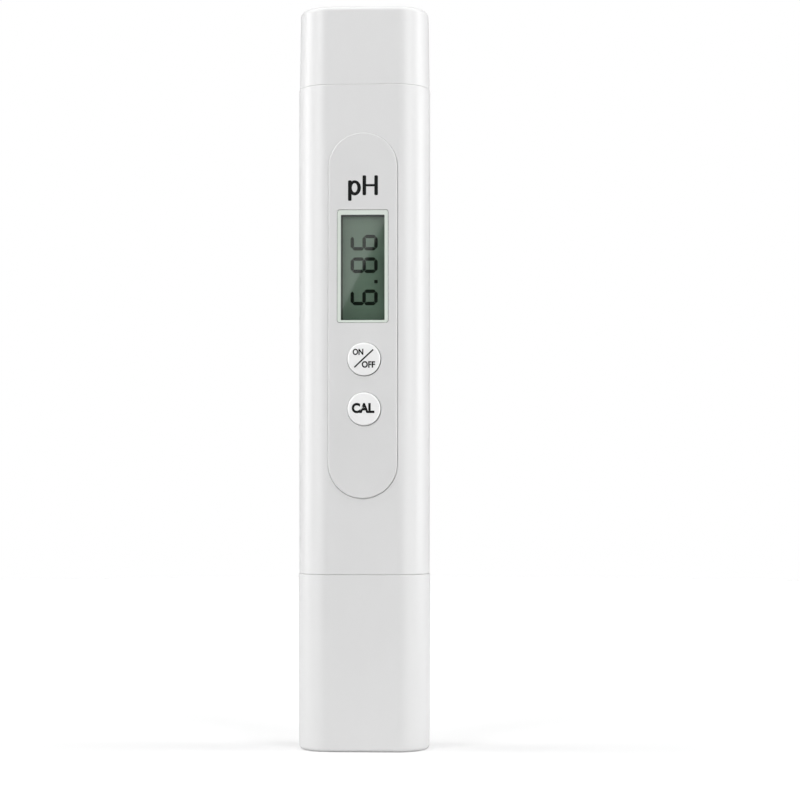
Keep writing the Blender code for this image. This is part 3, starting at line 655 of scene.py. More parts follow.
def make_case():
    plate = size_of("panel_plate")
    recess_size = (plate.x + 2 * PLATE_GAP, plate.z + 2 * PLATE_GAP)
    recess_place = place_of("panel_plate", CASE_FRONT) + PLATE_PUSHED
    recess = hole("recess", recess_size, recess_size[0] / 2, RECESS_DEPTH, RECESS_EDGE, recess_place)
    recess_floor = CASE_FRONT + RECESS_DEPTH
    lens = size_of("display_window")
    opening_size = (lens.x - 2 * OPENING_LIP, lens.z - 2 * OPENING_LIP)
    opening_place = place_of("display_window", recess_floor) - Vector((0.0, 0.0, OPENING_DROP))
    cutters = [hole("display_opening", opening_size, 0.4 * MM, CASE_WALL, HOLE_EDGE, opening_place)]
    width = 2 * KEY_RADIUS + 0.6 * MM
    for key in KEY_WORDS:
        key_place = place_of(key, recess_floor)
        cutters.append(hole(key + "_hole", (width, width), width / 2, CASE_WALL, HOLE_EDGE, key_place))
    front = cut(cut(case_half("case_front", -1), recess), *cutters)
    finish(front, WHITE, "white_plastic", "front_shell")

    seats = []
    size = (SCREW_SEAT_WIDTH, SCREW_SEAT_WIDTH)
    seat = (size, SCREW_SEAT_WIDTH / 2, SCREW_SEAT_DEPTH, SCREW_SEAT_EDGE)
    for number in range(1, 5):
        place = place_of(f"case_screw_{number}", CASE_BACK)
        seats.append(hole(f"seat_{number}", *seat, place, FACING_BACK))
    rear = cut(case_half("case_rear", 1), *seats)
    finish(rear, WHITE, "white_plastic", "rear_shell")


def make_plate():
    size = size_of("panel_plate")
    thickness = PLATE_BACK - PLATE_FRONT
    depth = 2 * thickness
    outline = (size.x, size.z)
    rings = [ring(outline, size.x / 2, -thickness), *high_end(outline, size.x / 2, 0.0, PLATE_EDGE)]
    plate = link("panel", mesh_of("panel", loft(rings)), place_of("panel_plate", PLATE_FRONT), FACING_FRONT)
    lens = size_of("display_window") + Vector((2 * LENS_GAP, 0.0, 2 * LENS_GAP))
    lens_place = place_of("display_window", PLATE_FRONT)
    lens_corner = LENS_CORNER + LENS_GAP
    cutters = [hole("lens_hole", (lens.x, lens.z), lens_corner, depth, HOLE_EDGE, lens_place)]
    width = 2 * (KEY_RADIUS + KEY_GAP)
    for key in KEY_WORDS:
        key_place = place_of(key, PLATE_FRONT) + KEY_PUSHED
        cutters.append(hole(key + "_ring", (width, width), width / 2, depth, KEY_HOLE_EDGE, key_place))
    finish(cut(plate, *cutters), PLATE_WHITE, "grey_plastic", "panel_plate")


def print_block(name, across, up, width, height, corner, depth=PRINT_THICKNESS):
    """A flat round-cornered block of ink on the front of the plate."""
    place = (across, PLATE_FRONT + PRINT_THICKNESS / 2, up)
    low, high = (PRINT_THICKNESS - depth) / 2, (PRINT_THICKNESS + depth) / 2
    return block(name, (width, height), corner, low, high, location=place, rotation=FACING_FRONT)


def print_oval(name, middle, size, depth=PRINT_THICKNESS):
    oval = print_block(name, *middle, size[0], size[0], size[0] / 2, depth)
    oval.scale = (1.0, size[1] / size[0], 1.0)
    return oval


def make_heading():
    """The heading's two letters: a small p of one stem and a bowl, and a capital H with a thin bar."""
    stems = []
    for label, (across, up, height) in zip(("p", "left", "right"), HEADING_STEMS):
        stems.append(print_block("stem_" + label, across, up, HEADING_STROKE, height, HEADING_CORNER))
    small, left, right = stems
    bowl = print_oval("bowl", *BOWL_OUTSIDE)
    small = cut(small, bowl, operation="UNION")
    small = cut(small, print_oval("bowl_inside", *BOWL_INSIDE, depth=4 * PRINT_THICKNESS))
    small.name = "heading_p"
    finish(small, LEGEND_INK, "black_plastic")
    start, middle_height = HEADING_STEMS[1][:2]
    reach = HEADING_STEMS[2][0] - start
    bar = print_block("bar", start + reach / 2, middle_height, reach, HEADING_BAR, 0.02 * MM)
    capital = cut(left, bar, right, operation="UNION")
    capital.name = "heading_H"
    finish(capital, LEGEND_INK, "black_plastic")


# ---- display


def segment_bar(shape, start, end):
    """A flat bar with pointed ends from start to end."""
    along = (end - start).normalized()
    across = Vector((-along.y, along.x)) * DIGIT_STROKE / 2
    start = start + along * DIGIT_GAP
    end = end - along * DIGIT_GAP
    tip = along * DIGIT_STROKE / 2
    outline = [start, start + tip + across, end - tip + across, end, end - tip - across, start + tip - across]
    shape.faces.new([shape.verts.new((x, y, 0.0)) for x, y in outline])


def digit_bars(shape, digit, middle_x):
    half_width = (DIGIT_WIDTH - DIGIT_STROKE) / 2
    half_height = (DIGIT_HEIGHT - DIGIT_STROKE) / 2
    for name in LIT[digit]:
        start, end = (Vector((middle_x + x * half_width, y * half_height)) for x, y in SEGMENTS[name])
        segment_bar(shape, start, end)


def flat_frame(name, outer, inner, thickness, place):
    """A flat frame between two outlines, with its back at the place and its front towards the viewer."""
    levels = ((outer, 0.0), (outer, thickness), (inner, thickness), (inner, 0.0))
    rings = [[Vector((x, y, height)) for x, y in points] for points, height in levels]
    return link(name, mesh_of(name, loft(rings, joined=True)), place, FACING_FRONT)


def make_display():
    lens = size_of("display_window")
    lens_front, lens_back = (corner.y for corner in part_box("display_window"))
    place = place_of("display_window", lens_back)
    lens_size = (lens.x, lens.z)
    edges = (0.0005 * MM, LENS_EDGE)
    window = block("window", lens_size, LENS_CORNER, 0.0, lens_back - lens_front, *edges, place, FACING_FRONT)
    finish(window, WINDOW, "clear_window", "display_window")

    outer = round_rectangle(lens.x - 2.2 * LENS_EDGE, lens.z - 2.2 * LENS_EDGE, LENS_CORNER)
    inner = round_rectangle(lens.x - 2 * OPENING_LIP, lens.z - 2 * OPENING_LIP, 0.15 * MM)
    inner = [point - Vector((0.0, OPENING_DROP)) for point in inner]
    border_place = place_of("display_window", lens_front)
    border = flat_frame("window_border", outer, inner, BORDER_THICKNESS, border_place)
    finish(border, BORDER_PRINT, "grey_plastic")
    # A near-black ring behind the window, with its opening pushed to the lower right so that its left and top
    # sides show: painted shadow of the window's edges.
    shadow_ring_place = place_of("display_window", lens_back + SHADOW_RING_THICKNESS + 0.02 * MM)
    shadow_ring_inner = [point + SHADOW_RING_PUSHED for point in inner]
    dark_ring = flat_frame("window_shadow_ring", outer, shadow_ring_inner, SHADOW_RING_THICKNESS, shadow_ring_place)
    finish(dark_ring, WINDOW_SHADOW_RING, "elastomer")

    glass = size_of("lcd_front_glass")
    glass_front, glass_back = (corner.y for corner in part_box("lcd_front_glass"))
    glass_place = place_of("lcd_front_glass", glass_back)
    edges = (0.05 * MM, 0.1 * MM)
    face = block("lcd_face", (glass.x, glass.z), 0.3 * MM, 0.0, glass.y, *edges, glass_place, FACING_FRONT)
    finish(face, LCD_FACE, "lcd_glass", "lcd_front_glass")

    shape = bmesh.new()
    for digit, along in READING:
        digit_bars(shape, digit, along)
    point = Vector((POINT_PLACE, -(DIGIT_HEIGHT - DIGIT_STROKE) / 2))
    dot = round_rectangle(DIGIT_STROKE, DIGIT_STROKE, 0.12 * MM, steps=4)
    shape.faces.new([shape.verts.new((x + point.x, y + point.y, 0.0)) for x, y in dot])
    thicken(shape, (0.0, 0.0, PRINT_THICKNESS))
    reading_place = place_of("lcd_front_glass", glass_front) + Vector((READING_OFFSET, 0.0, 0.0))
    reading = link("reading", mesh_of("reading", shape), reading_place, READING_UPWARD)
    finish(reading, LCD_INK, "black_plastic")


# ---- keys


def dome_height(radius):
    return KEY_PROUD - KEY_DOME * (radius / KEY_CROWN_RADIUS) ** 2


def lay_on_dome(legend, key, across=0.0, up=0.0):
    """Moves the flat legend to its place on the key's dome and bends it to the dome's curve."""
    for vert in legend.data.vertices:
        x, y = vert.co.x + across, vert.co.y + up
        vert.co = (x, y, vert.co.z + dome_height(math.hypot(x, y)) + 0.3 * PRINT_THICKNESS)
    legend.location = place_of(key, PLATE_FRONT)
    legend.rotation_euler = FACING_FRONT
    return legend


def make_key(key):
    stem_end = PLATE_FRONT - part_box(key)[1].y
    flange_front = stem_end + KEY_FLANGE_RISE
    flange_back = flange_front - KEY_FLANGE_THICKNESS
    crown = [(KEY_CROWN_RADIUS * step / 8, dome_height(KEY_CROWN_RADIUS * step / 8)) for step in range(9)]
    rim_drop = crown[-1][1] - KEY_EDGE_HEIGHT
    rim_width = KEY_RADIUS - KEY_CROWN_RADIUS
    rim = []
    for step in range(1, 9):
        angle = step / 8 * math.pi / 2
        radius = KEY_CROWN_RADIUS + rim_width * math.sin(angle)
        rim.append((radius, KEY_EDGE_HEIGHT + rim_drop * math.cos(angle)))
    back = [
        (KEY_RADIUS, flange_front),
        (KEY_FLANGE_RADIUS, flange_front),
        (KEY_FLANGE_RADIUS, flange_back),
        (KEY_STEM_RADIUS, flange_back),
        (KEY_STEM_RADIUS, stem_end),
        (0.0, stem_end),
    ]
    button = turned(key + "_button", [*crown, *rim, *back], place_of(key, PLATE_FRONT), FACING_FRONT)
    finish(button, KEY_WHITE, "key_plastic", key, body=key)


def make_slash(key):
    """The stroke between ON and OFF, in short steps so that it can follow the dome."""
    shape = bmesh.new()
    half_width = (SLASH_HIGH - SLASH_LOW).orthogonal().normalized() * SLASH_WIDTH / 2
    steps = 12
    for step in range(steps):
        near, far = SLASH_LOW.lerp(SLASH_HIGH, step / steps), SLASH_LOW.lerp(SLASH_HIGH, (step + 1) / steps)
        corners = (near - half_width, near + half_width, far + half_width, far - half_width)
        shape.faces.new([shape.verts.new((x, y, 0.0)) for x, y in corners])
    bmesh.ops.remove_doubles(shape, verts=shape.verts, dist=0.001 * MM)
    thicken(shape, (0.0, 0.0, PRINT_THICKNESS))
    stroke = lay_on_dome(link("legend_slash", mesh_of("legend_slash", shape)), key)
    finish(stroke, LEGEND_INK, "black_plastic", body=key)


def make_keys():
    for key, words in KEY_WORDS.items():
        make_key(key)
        for word, width, height, weight, across, up in words:
            legend = lettering("legend_" + word.lower(), word, width * MM, height * MM, weight)
            lay_on_dome(legend, key, across * MM, up * MM)
            finish(legend, LEGEND_INK, "black_plastic", body=key)
        if key == "on_off_key":
            make_slash(key)


# ---- caps


def cup(name, size, taper, rim, end, end_edge):
    """A cap with its rim at one height and its closed end at another, narrowed by taper towards the end."""
    way = 1.0 if end > rim else -1.0
    length = abs(end - rim)

    def level(distance, inset):
        narrowed = size - taper * (distance / length)
        return ring(narrowed, CAP_CORNER, rim + way * distance, inset)

    floor = length - CAP_WALL - CAP_FLOOR_EDGE
    rings = [level(floor + rise, CAP_WALL + inset) for inset, rise in reversed(rounding(CAP_FLOOR_EDGE))]
    rings.append(level(CAP_MOUTH_EDGE, CAP_WALL))
    rings.append(level(0.0, CAP_WALL - CAP_MOUTH_EDGE))
    rings += [level(CAP_RIM_EDGE - rise, inset) for inset, rise in reversed(rounding(CAP_RIM_EDGE))]
    rings += [level(length - end_edge + rise, inset) for inset, rise in rounding(end_edge, steps=10)]
    return link(name, mesh_of(name, loft(rings)), ON_AXIS)


def make_caps():
    low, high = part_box("battery_cap")
    size = (high - low).xy
    top_cap = cup("top_cap", size, BATTERY_CAP_TAPER, low.z - SEAM_CLOSED, high.z, BATTERY_CAP_EDGE)
    finish(top_cap, WHITE, "white_plastic", "battery_cap", body="battery_cap")
    low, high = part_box("probe_cap")
    size = (high - low).xy
    bottom_cap = cup("bottom_cap", size, PROBE_CAP_TAPER, high.z + SEAM_CLOSED, low.z, PROBE_CAP_EDGE)
    finish(bottom_cap, WHITE, "white_plastic", "probe_cap", body="probe_cap")

    low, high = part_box("soaking_sponge")
    size, edge = (high - low).xy, 0.5 * MM
    sponge = block("sponge", size, 3.8 * MM, low.z, high.z, edge, edge, ON_AXIS)
    finish(sponge, FOAM, "foam", "soaking_sponge", body="probe_cap")


# ---- plugs and seals


def groove(depth, half_height, lip):
    """(inset, rise) pairs of a groove round a side, from below it to above it, with rounded lips."""
    lower = [(inset, -half_height - rise) for inset, rise in reversed(rounding(lip, steps=3))]
    lower += [(depth, -half_height)]
    return lower + [(inset, -rise) for inset, rise in reversed(lower)]


def plug(name, low, high, seal):
    """A moulded block that fills an end of the case, with the groove that its seal ring lies in."""
    size = (PLUG_WIDTH, PLUG_DEPTH)
    rings = low_end(size, PLUG_CORNER, low, PLUG_EDGE)
    seal_height = middle_of(seal).z
    for inset, rise in groove(SEAL_GROOVE_DEPTH, SEAL_GROOVE_HEIGHT / 2, 0.15 * MM):
        rings.append(ring(size, PLUG_CORNER, seal_height + rise, inset))
    rings += high_end(size, PLUG_CORNER, high, PLUG_EDGE)
    return link(name, mesh_of(name, loft(rings)), ON_AXIS)


def seal_ring(name, node):
    low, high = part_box(node)
    middle = (low + high) / 2
    outline = round_rectangle(high.x - low.x - 2 * SEAL_RADIUS, high.y - low.y - 2 * SEAL_RADIUS, SEAL_CORNER)
    seal = tube(name, [(x, y, 0.0) for x, y in outline], SEAL_RADIUS, closed=True)
    seal.location = middle
    finish(seal, RUBBER, "elastomer", node)


def bore(name, radius, low, high, x=0.0):
    """An upright cutter for a round hole that starts at its low end, with a chamfered mouth there."""
    mouth, below = radius + BORE_EDGE, low - MM
    profile = [(0.0, high), (radius, high), (radius, low + BORE_EDGE), (mouth, low)]
    profile += [(mouth, below), (0.0, below)]
    return turned(name, profile, (x, AXIS_Y, 0.0))


def boss_passages(name, screws):
    cutters = []
    size = (2 * BOSS_PASSAGE, 2 * BOSS_PASSAGE)
    for screw in screws:
        way = {"location": place_of(screw, AXIS_Y), "rotation": FACING_FRONT}
        cutters.append(block(f"{name}_{screw}", size, BOSS_PASSAGE, -BOSS_REACH, BOSS_REACH, **way))
    return cutters


def make_battery_holder():
    low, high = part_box("battery_holder")
    end_walls = []
    slots = []
    wall_size, wall_root, edge = (1.2 * MM, 7.2 * MM), HOLDER_TOP - 2.4 * MM, 0.3 * MM
    slot_size, slot_end = (MM, 3.0 * MM), HOLDER_TOP + 1.6 * MM
    for side, label in ((-1, "left"), (1, "right")):
        place = (side * (HOLDER_POCKET_END + wall_size[0] / 2), AXIS_Y, 0.0)
        end_walls.append(block(label + "_wall", wall_size, edge, wall_root, high.z, 0.0, edge, place))
        slot_place = (side * (HOLDER_POCKET_END - slot_size[0] / 2), AXIS_Y, 0.0)
        slots.append(block(label + "_slot", slot_size, 0.1 * MM, low.z - MM, slot_end, location=slot_place))
    trough_radius = CELL_RADIUS + 0.3 * MM
    trough_size = (2 * trough_radius, 2 * trough_radius)
    way = {"location": CELL_AXIS, "rotation": (0.0, math.pi / 2, 0.0)}
    trough = block("trough", trough_size, trough_radius, -HOLDER_POCKET_END, HOLDER_POCKET_END, **way)
    holder = plug("holder", low.z, HOLDER_TOP, "battery_cap_seal")
    holder = cut(holder, *end_walls, operation="UNION")
    holder = cut(holder, trough, *slots)
    holder = cut(holder, *boss_passages("holder_passage", ("case_screw_3", "case_screw_4")))
    finish(holder, BLACK, "black_plastic", "battery_holder")
    seal_ring("upper_seal", "battery_cap_seal")


# ---- batteries


def circle(radius, height):
    steps = 64
    angles = [step / steps * 2 * math.pi for step in range(steps)]
    return [(radius * math.cos(angle), radius * math.sin(angle), height) for angle in angles]


def corner_arc(middle, radius, start, end, steps=5):
    """(radius, height) points of an arc about the middle, between two angles in degrees."""
    points = []
    for step in range(steps + 1):
        angle = math.radians(start + (end - start) * step / steps)
        points.append((middle[0] + radius * math.cos(angle), middle[1] + radius * math.sin(angle)))
    return points


def make_cell(number):
    """A button cell: a turned can with a crimped rim, the raised cap inside it, and the seal between them."""
    node = f"battery_cell_{number}"
    place = (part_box(node)[1].x, CELL_AXIS.y, CELL_AXIS.z)
    towards_spring = (0.0, -math.pi / 2, 0.0)
    rim = CELL_THICKNESS - 0.75 * MM
    cap_radius, can_inside, groove_floor = 4.8 * MM, 5.25 * MM, rim - 0.25 * MM
    edge, crimp, dish = 0.35 * MM, 0.4 * MM, 0.08 * MM
    profile = [(0.0, CELL_THICKNESS)]
    profile += corner_arc((cap_radius - edge, CELL_THICKNESS - edge), edge, 90, 0)
    profile += [(cap_radius, groove_floor), (can_inside, groove_floor), (can_inside, rim - 0.05 * MM)]
    profile += corner_arc((CELL_RADIUS - crimp, rim - crimp), crimp, 75, 0)
    profile += corner_arc((CELL_RADIUS - edge, edge), edge, 0, -90)
    profile += [(4.1 * MM, 0.0), (4.0 * MM, dish), (0.0, dish)]
    finish(turned(f"cell_{number}", profile, place, towards_spring), CELL_STEEL, "steel", node)
    dark_ring = tube(f"cell_gasket_{number}", circle(5.02 * MM, rim - 0.2 * MM), 0.21 * MM, closed=True)
    dark_ring.location = place
    dark_ring.rotation_euler = towards_spring
    finish(dark_ring, BLACK, "elastomer")


def make_contact(name, node):
    """A stamped strip with a wide head; its outline is (across, up), across from the meter's axis."""
    low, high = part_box(node)
    head = high.z - 8.8 * MM
    head_full = head + 1.8 * MM
    neck, side = 1.2 * MM, (high.y - low.y) / 2
    outline = [(-neck, low.z), (neck, low.z), (neck, head), (side, head_full), (side, high.z)]
    outline += [(-side, high.z), (-side, head_full), (-neck, head)]
    shape = bmesh.new()
    shape.faces.new([shape.verts.new((low.x, AXIS_Y + y, z)) for y, z in outline])
    thicken(shape, (high.x - low.x, 0.0, 0.0))
    across = [edge for edge in shape.edges if abs(edge.verts[0].co.x - edge.verts[1].co.x) > 0.1 * MM]
    bmesh.ops.bevel(shape, geom=across, offset=0.5 * MM, segments=5, profile=0.5, affect="EDGES")
    bmesh.ops.recalc_face_normals(shape, faces=shape.faces)
    rims = [edge for edge in shape.edges if edge.calc_face_angle(0.0) > math.radians(60)]
    bmesh.ops.bevel(shape, geom=rims, offset=0.06 * MM, segments=2, profile=0.5, affect="EDGES")
    finish(link(name, mesh_of(name, shape)), STEEL, "steel", node)


def make_batteries():
    for number in (1, 2, 3):
        make_cell(number)
    make_contact("negative_strip", "negative_contact")
    make_contact("positive_strip", "positive_contact")
    low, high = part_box("contact_spring")
    wire = 0.25 * MM
    wide = (high.z - low.z) / 2 - wire
    narrow = 1.6 * MM
    turns, steps = 2.5, 120
    coil = []
    for step in range(steps + 1):
        part_way = step / steps
        angle = part_way * turns * 2 * math.pi
        radius = wide + (narrow - wide) * part_way
        x = low.x + wire + (high.x - low.x - 2 * wire) * part_way
        coil.append((x, radius * math.cos(angle), radius * math.sin(angle)))
    spring = tube("cell_spring", coil, wire)
    spring.location = (0.0, CELL_AXIS.y, CELL_AXIS.z)
    finish(spring, STEEL, "steel", "contact_spring")


# ---- probe


def make_probe_base():
    low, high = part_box("probe_base")
    base = plug("base", low.z, high.z, "probe_cap_seal")
    cutters = [bore("glass_bore", GLASS_STEM_RADIUS + BORE_ROOM, low.z, high.z + MM)]
    sockets = (
        ("guard_socket", "electrode_guard", GUARD_SOCKET_RADIUS),
        ("pin_bore", "temperature_pin", PIN_RADIUS + BORE_ROOM),
        ("junction_bore", "reference_junction", PIN_RADIUS + BORE_ROOM),
    )
    for name, node, radius in sockets:
        cutters.append(bore(name, radius, low.z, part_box(node)[1].z + BORE_ROOM, middle_of(node).x))
    base = cut(base, *cutters)
    base = cut(base, *boss_passages("base_passage", ("case_screw_1", "case_screw_2")))
    finish(base, GREY, "grey_plastic", "probe_base")
    seal_ring("lower_seal", "probe_cap_seal")


def rod_of(node):
    """A round node's radius, low end and high end."""
    low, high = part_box(node)
    return (high.x - low.x) / 2, low.z, high.z


def rounded_side(radius, low, high, edge):
    """(radius, height) points down the side of a round rod with rounded ends."""
    side = corner_arc((radius - edge, high - edge), edge, 90, 0)
    return side + corner_arc((radius - edge, low + edge), edge, 0, -90)


def bulb_side(radius, stem, neck, middle):
    """(radius, height) points from the bulb's lowest point up to the stem, with a smooth neck."""
    rise = math.sqrt((radius + neck) ** 2 - (stem + neck) ** 2)
    turn = math.degrees(math.atan2(rise, stem + neck))
    ball = corner_arc((0.0, middle), radius, -90, turn, steps=28)
    ball[0] = (0.0, middle - radius)
    return ball + corner_arc((stem + neck, middle + rise), neck, 180 + turn, 180, steps=8)[1:]


def make_glass():
    radius, low, high = rod_of("glass_electrode")
    middle = low + radius
    stem, stem_inside = GLASS_STEM_RADIUS, GLASS_STEM_RADIUS - GLASS_WALL
    outside = bulb_side(radius, stem, 1.5 * MM, middle)
    inside = bulb_side(radius - BULB_WALL, stem_inside, 2.05 * MM, middle)
    lip = 0.2 * MM
    below = high - lip
    top = [(stem_inside, below), (stem_inside + lip, high), (stem - lip, high), (stem, below)]
    glass = turned("glass_probe", [*inside, *top, *reversed(outside)], ON_AXIS)
    finish(glass, PROBE_GLASS, "probe_glass", "glass_electrode")


def make_guard():
    radius, low, high = rod_of("electrode_guard")
    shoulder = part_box("probe_base")[0].z - BORE_ROOM
    neck, inner, passage = GUARD_NECK_RADIUS, GUARD_INNER_RADIUS, GUARD_PASSAGE_RADIUS
    chamfer, step_chamfer = 0.3 * MM, 0.4 * MM
    profile = [(neck - chamfer, high), (neck, high - chamfer), (neck, shoulder)]
    profile += corner_arc((radius - 0.5 * MM, shoulder - 0.5 * MM), 0.5 * MM, 90, 0)
    profile += corner_arc((radius - 0.4 * MM, low + 0.4 * MM), 0.4 * MM, 0, -90)
    profile += corner_arc((inner + 0.2 * MM, low + 0.2 * MM), 0.2 * MM, -90, -180)
    profile += [(inner, GUARD_STEP - step_chamfer), (inner - step_chamfer, GUARD_STEP)]
    profile += [(passage, GUARD_STEP), (passage, high)]
    guard = turned("guard", profile, ON_AXIS, hollow=True)
    slots = []
    for label, turn in (("slots_across", 0.0), ("slots_through", math.pi / 2)):
        way = {"location": (0.0, AXIS_Y, GUARD_SLOT_HEIGHT), "rotation": (math.pi / 2, 0.0, turn)}
        slots.append(block(label, GUARD_SLOT_SIZE, GUARD_SLOT_CORNER, -10.0 * MM, 10.0 * MM, **way))
    guard = cut(guard, *slots)
    edge = guard.modifiers.new("edge", "BEVEL")
    edge.width = 0.15 * MM
    edge.segments = 2
    edge.limit_method = "ANGLE"
    edge.angle_limit = math.radians(50)
    finish(solid_from(guard), GREY, "grey_plastic", "electrode_guard")


def pin_profile(radius, low, high, edge, steps):
    """A rod with a chamfered top and a ball-shaped lower end."""
    tip = corner_arc((0.0, low + radius), radius, 0, -90, steps)
    tip[-1] = (0.0, low)
    return [(0.0, high), (radius - edge, high), (radius, high - edge), *tip]


def make_probe():
    make_glass()
    make_guard()
    radius, low, high = rod_of("electrode_wire")
    wire = turned("silver_wire", pin_profile(radius, low, high, 0.1 * MM, steps=6), ON_AXIS)
    finish(wire, SILVER, "steel", "electrode_wire")

    radius, low, high = rod_of("electrode_plug")
    bore_radius = 0.7 * MM
    profile = [*rounded_side(radius, low, high, 0.25 * MM), (bore_radius, low), (bore_radius, high)]
    stopper = turned("glass_stopper", profile, ON_AXIS, hollow=True)
    finish(stopper, RUBBER, "elastomer", "electrode_plug")

    edge = 0.2 * MM
    _, low, high = rod_of("reference_junction")
    profile = [(0.0, high), *rounded_side(PIN_RADIUS, low, high, edge), (0.0, low)]
    junction = turned("junction", profile, (middle_of("reference_junction").x, AXIS_Y, 0.0))
    finish(junction, CERAMIC, "porous_ceramic", "reference_junction")

    _, low, high = rod_of("temperature_pin")
    profile = pin_profile(PIN_RADIUS, low, high, edge, steps=12)
    pin = turned("sensor_pin", profile, (middle_of("temperature_pin").x, AXIS_Y, 0.0))
    finish(pin, STEEL, "steel", "temperature_pin")


# ---- screws and the parts kept from the CAD


def make_case_screws():
    """Pan-head screws with a cross recess; local z = 0 is the underside of the head."""
    for number in range(1, 5):
        node = f"case_screw_{number}"
        low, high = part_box(node)
        head, height = (high.x - low.x) / 2, 1.2 * MM
        shank = 0.8 * MM
        length = high.y - low.y - height
        profile = [(0.0, height), (head * 0.45, height)]
        profile += corner_arc((head * 0.45, height - head * 0.55), head * 0.55, 80, 0)
        profile += [(head, 0.08 * MM), (head - 0.08 * MM, 0.0), (shank, 0.0)]
        thread, pitch = 0.12 * MM, 0.45 * MM
        turns = int(length * 0.8 / pitch)
        for turn in range(turns):
            root = -0.3 * MM - turn * pitch
            profile += [(shank - thread, root), (shank, root - pitch / 2)]
        profile += [(shank - thread, -length * 0.85), (0.0, -length)]
        place = place_of(node, high.y - height)
        screw = turned(f"screw_{number}", profile, place, FACING_BACK)
        arms, arm_size = [], (1.7 * MM, 0.42 * MM)
        for label, turn in (("arm", 0.3), ("cross_arm", 0.3 + math.pi / 2)):
            way = {"location": place, "rotation": (-math.pi / 2, turn, 0.0)}
            arm = block(f"{label}_{number}", arm_size, 0.05 * MM, height - 0.5 * MM, height + MM, **way)
            arms.append(arm)
        finish(cut(screw, *arms), SCREW_STEEL, "steel", node)


CHIPS = ("microcontroller", "amplifier_chip", "on_off_switch_base", "cal_switch_base")
PLUNGERS = ("on_off_plunger", "cal_plunger")
CARRIED_NODES = (
    (BOARD, ("main_board",)),
    (BLACK, CHIPS + PLUNGERS),
    (STEEL, ("crystal",)),
    (ALUMINIUM, ("capacitor",)),
    (SCREW_STEEL, [f"board_screw_{number}" for number in range(1, 5)]),
    (LCD_FACE, ("lcd_rear_glass",)),
    (LCD_MIRROR, ("lcd_reflector",)),
    (GREY, ("lcd_frame",)),
    (RUBBER, ("zebra_strip_left", "zebra_strip_right", "sensor_lead")),
)


def finish_carried_nodes():
    for material, nodes in CARRIED_NODES:
        for node in nodes:
            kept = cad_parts[node]
            kept.data.materials.clear()
            kept.data.materials.append(material)


# ---- setting


def camera_sees(tree, special, usual, surface):
    """Shows the special shader to the camera, and the usual one to every other ray."""
    ray = tree.nodes.new("ShaderNodeLightPath")
    choose = tree.nodes.new("ShaderNodeMixShader")
    tree.links.new(ray.outputs["Is Camera Ray"], choose.inputs["Fac"])
    tree.links.new(usual, choose.inputs[1])
    tree.links.new(special, choose.inputs[2])
    tree.links.new(choose.outputs["Shader"], surface)


def make_floor():
    """A pale, matt table top; the camera sees it lighter than it lights the meter."""
    shape = bmesh.new()
    bmesh.ops.create_circle(shape, cap_ends=True, cap_tris=False, segments=96, radius=FLOOR_RADIUS)
    floor = link("table_top", mesh_of("table_top", shape), (0.0, 0.0, CAD_BOX[0].z - 0.05 * MM))
    paint = plain_material("table_paint", grey(0.6), 0.7, Specular_IOR_Level=0.2)
    colour_by(paint, noise(paint, 8.0), (0.3, grey(0.59)), (0.7, grey(0.61)))
    nodes, links = paint.node_tree.nodes, paint.node_tree.links
    glow = nodes.new("ShaderNodeEmission")
    glow.inputs["Strength"].default_value = FLOOR_GLOW
    glowing = nodes.new("ShaderNodeAddShader")
    plain = nodes["Principled BSDF"].outputs["BSDF"]
    links.new(plain, glowing.inputs[0])
    links.new(glow.outputs["Emission"], glowing.inputs[1])
    camera_sees(paint.node_tree, glowing.outputs["Shader"], plain, nodes["Material Output"].inputs["Surface"])
    floor.data.materials.append(paint)


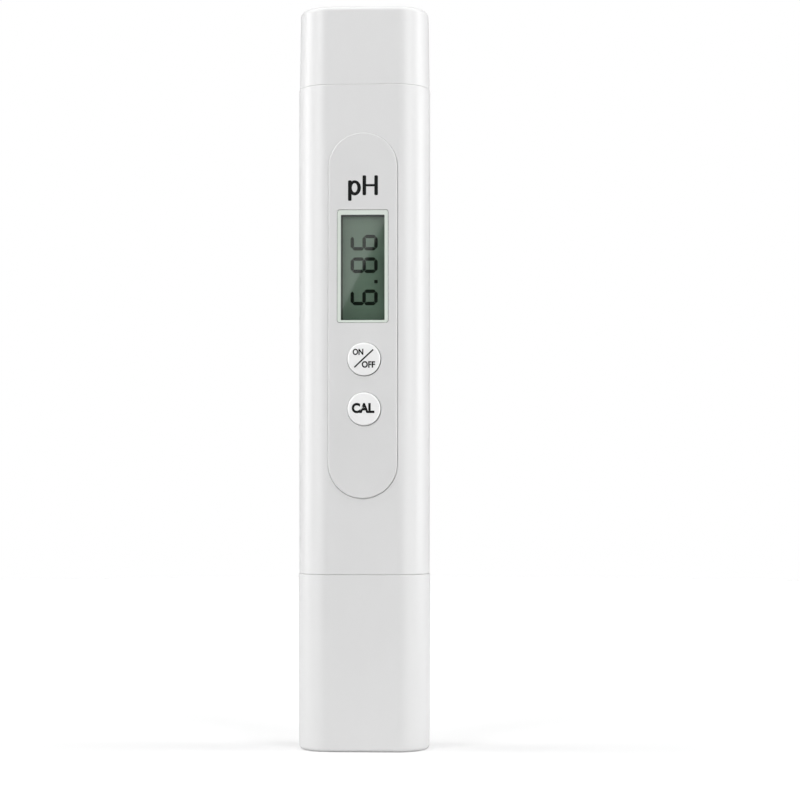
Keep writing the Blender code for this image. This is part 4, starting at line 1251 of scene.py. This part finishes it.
def make_light():
    """White to the camera, and soft light whose strength depends only on its direction round Z."""
    world = bpy.data.worlds.new("studio")
    bpy.context.scene.world = world
    world.use_nodes = True
    nodes, links = world.node_tree.nodes, world.node_tree.links
    direction = nodes.new("ShaderNodeTexCoord")
    turn = nodes.new("ShaderNodeMapping")
    turn.inputs["Rotation"].default_value = (0.0, 0.0, math.pi / 2)
    compass = nodes.new("ShaderNodeTexGradient")
    compass.gradient_type = "RADIAL"
    ramp = nodes.new("ShaderNodeValToRGB")
    elements = ramp.color_ramp.elements
    for angle, level in STUDIO_LEVELS[:-1]:
        for side in {-angle, angle}:
            elements.new(0.5 + side / 360).color = (*grey(level), 1.0)
    for end in (elements[0], elements[-1]):
        end.color = (*grey(STUDIO_LEVELS[-1][1]), 1.0)
    light = nodes["Background"]
    backdrop = nodes.new("ShaderNodeBackground")
    backdrop.inputs["Color"].default_value = (1.0, 1.0, 1.0, 1.0)
    backdrop.inputs["Strength"].default_value = BACKDROP_LEVEL
    links.new(direction.outputs["Generated"], turn.inputs["Vector"])
    links.new(turn.outputs["Vector"], compass.inputs["Vector"])
    links.new(compass.outputs["Fac"], ramp.inputs["Fac"])
    links.new(ramp.outputs["Color"], light.inputs["Color"])
    shaders = (backdrop.outputs["Background"], light.outputs["Background"])
    camera_sees(world.node_tree, *shaders, nodes["World Output"].inputs["Surface"])

    glare = bpy.data.lights.new("window_glare", "AREA")
    glare.shape = "RECTANGLE"
    glare.size, glare.size_y = GLARE_SIZE
    glare.energy = GLARE_LEVEL * math.pi * GLARE_SIZE[0] * GLARE_SIZE[1]
    lean = Matrix.Rotation(math.radians(GLARE_LEAN), 3, "Z")
    link("window_glare", glare, GLARE_PLACE, (Matrix.Rotation(math.pi / 2, 3, "X") @ lean).to_euler())

    overhead = bpy.data.lights.new("overhead", "AREA")
    overhead.shape = "DISK"
    overhead.size = OVERHEAD_SIZE
    overhead.energy = OVERHEAD_LEVEL * math.pi * math.pi * OVERHEAD_SIZE**2 / 4
    link("overhead", overhead, (0.0, 0.0, OVERHEAD_HEIGHT))


def make_camera():
    data = bpy.data.cameras.new("photo_camera")
    data.lens = CAMERA_LENS
    data.sensor_width = CAMERA_SENSOR
    data.shift_y = CAMERA_SHIFT
    camera = link("photo_camera", data, CAMERA_PLACE)
    camera.rotation_euler = (math.radians(90.0 + CAMERA_PITCH), 0.0, math.radians(CAMERA_TURN))
    bpy.context.scene.camera = camera
    view = bpy.context.scene.view_settings
    view.view_transform = "Standard"
    view.look = "None"


make_case()
make_plate()
make_heading()
make_display()
make_keys()
make_caps()
make_battery_holder()
make_batteries()
make_probe_base()
make_probe()
make_case_screws()
finish_carried_nodes()
make_floor()
make_light()
make_camera()
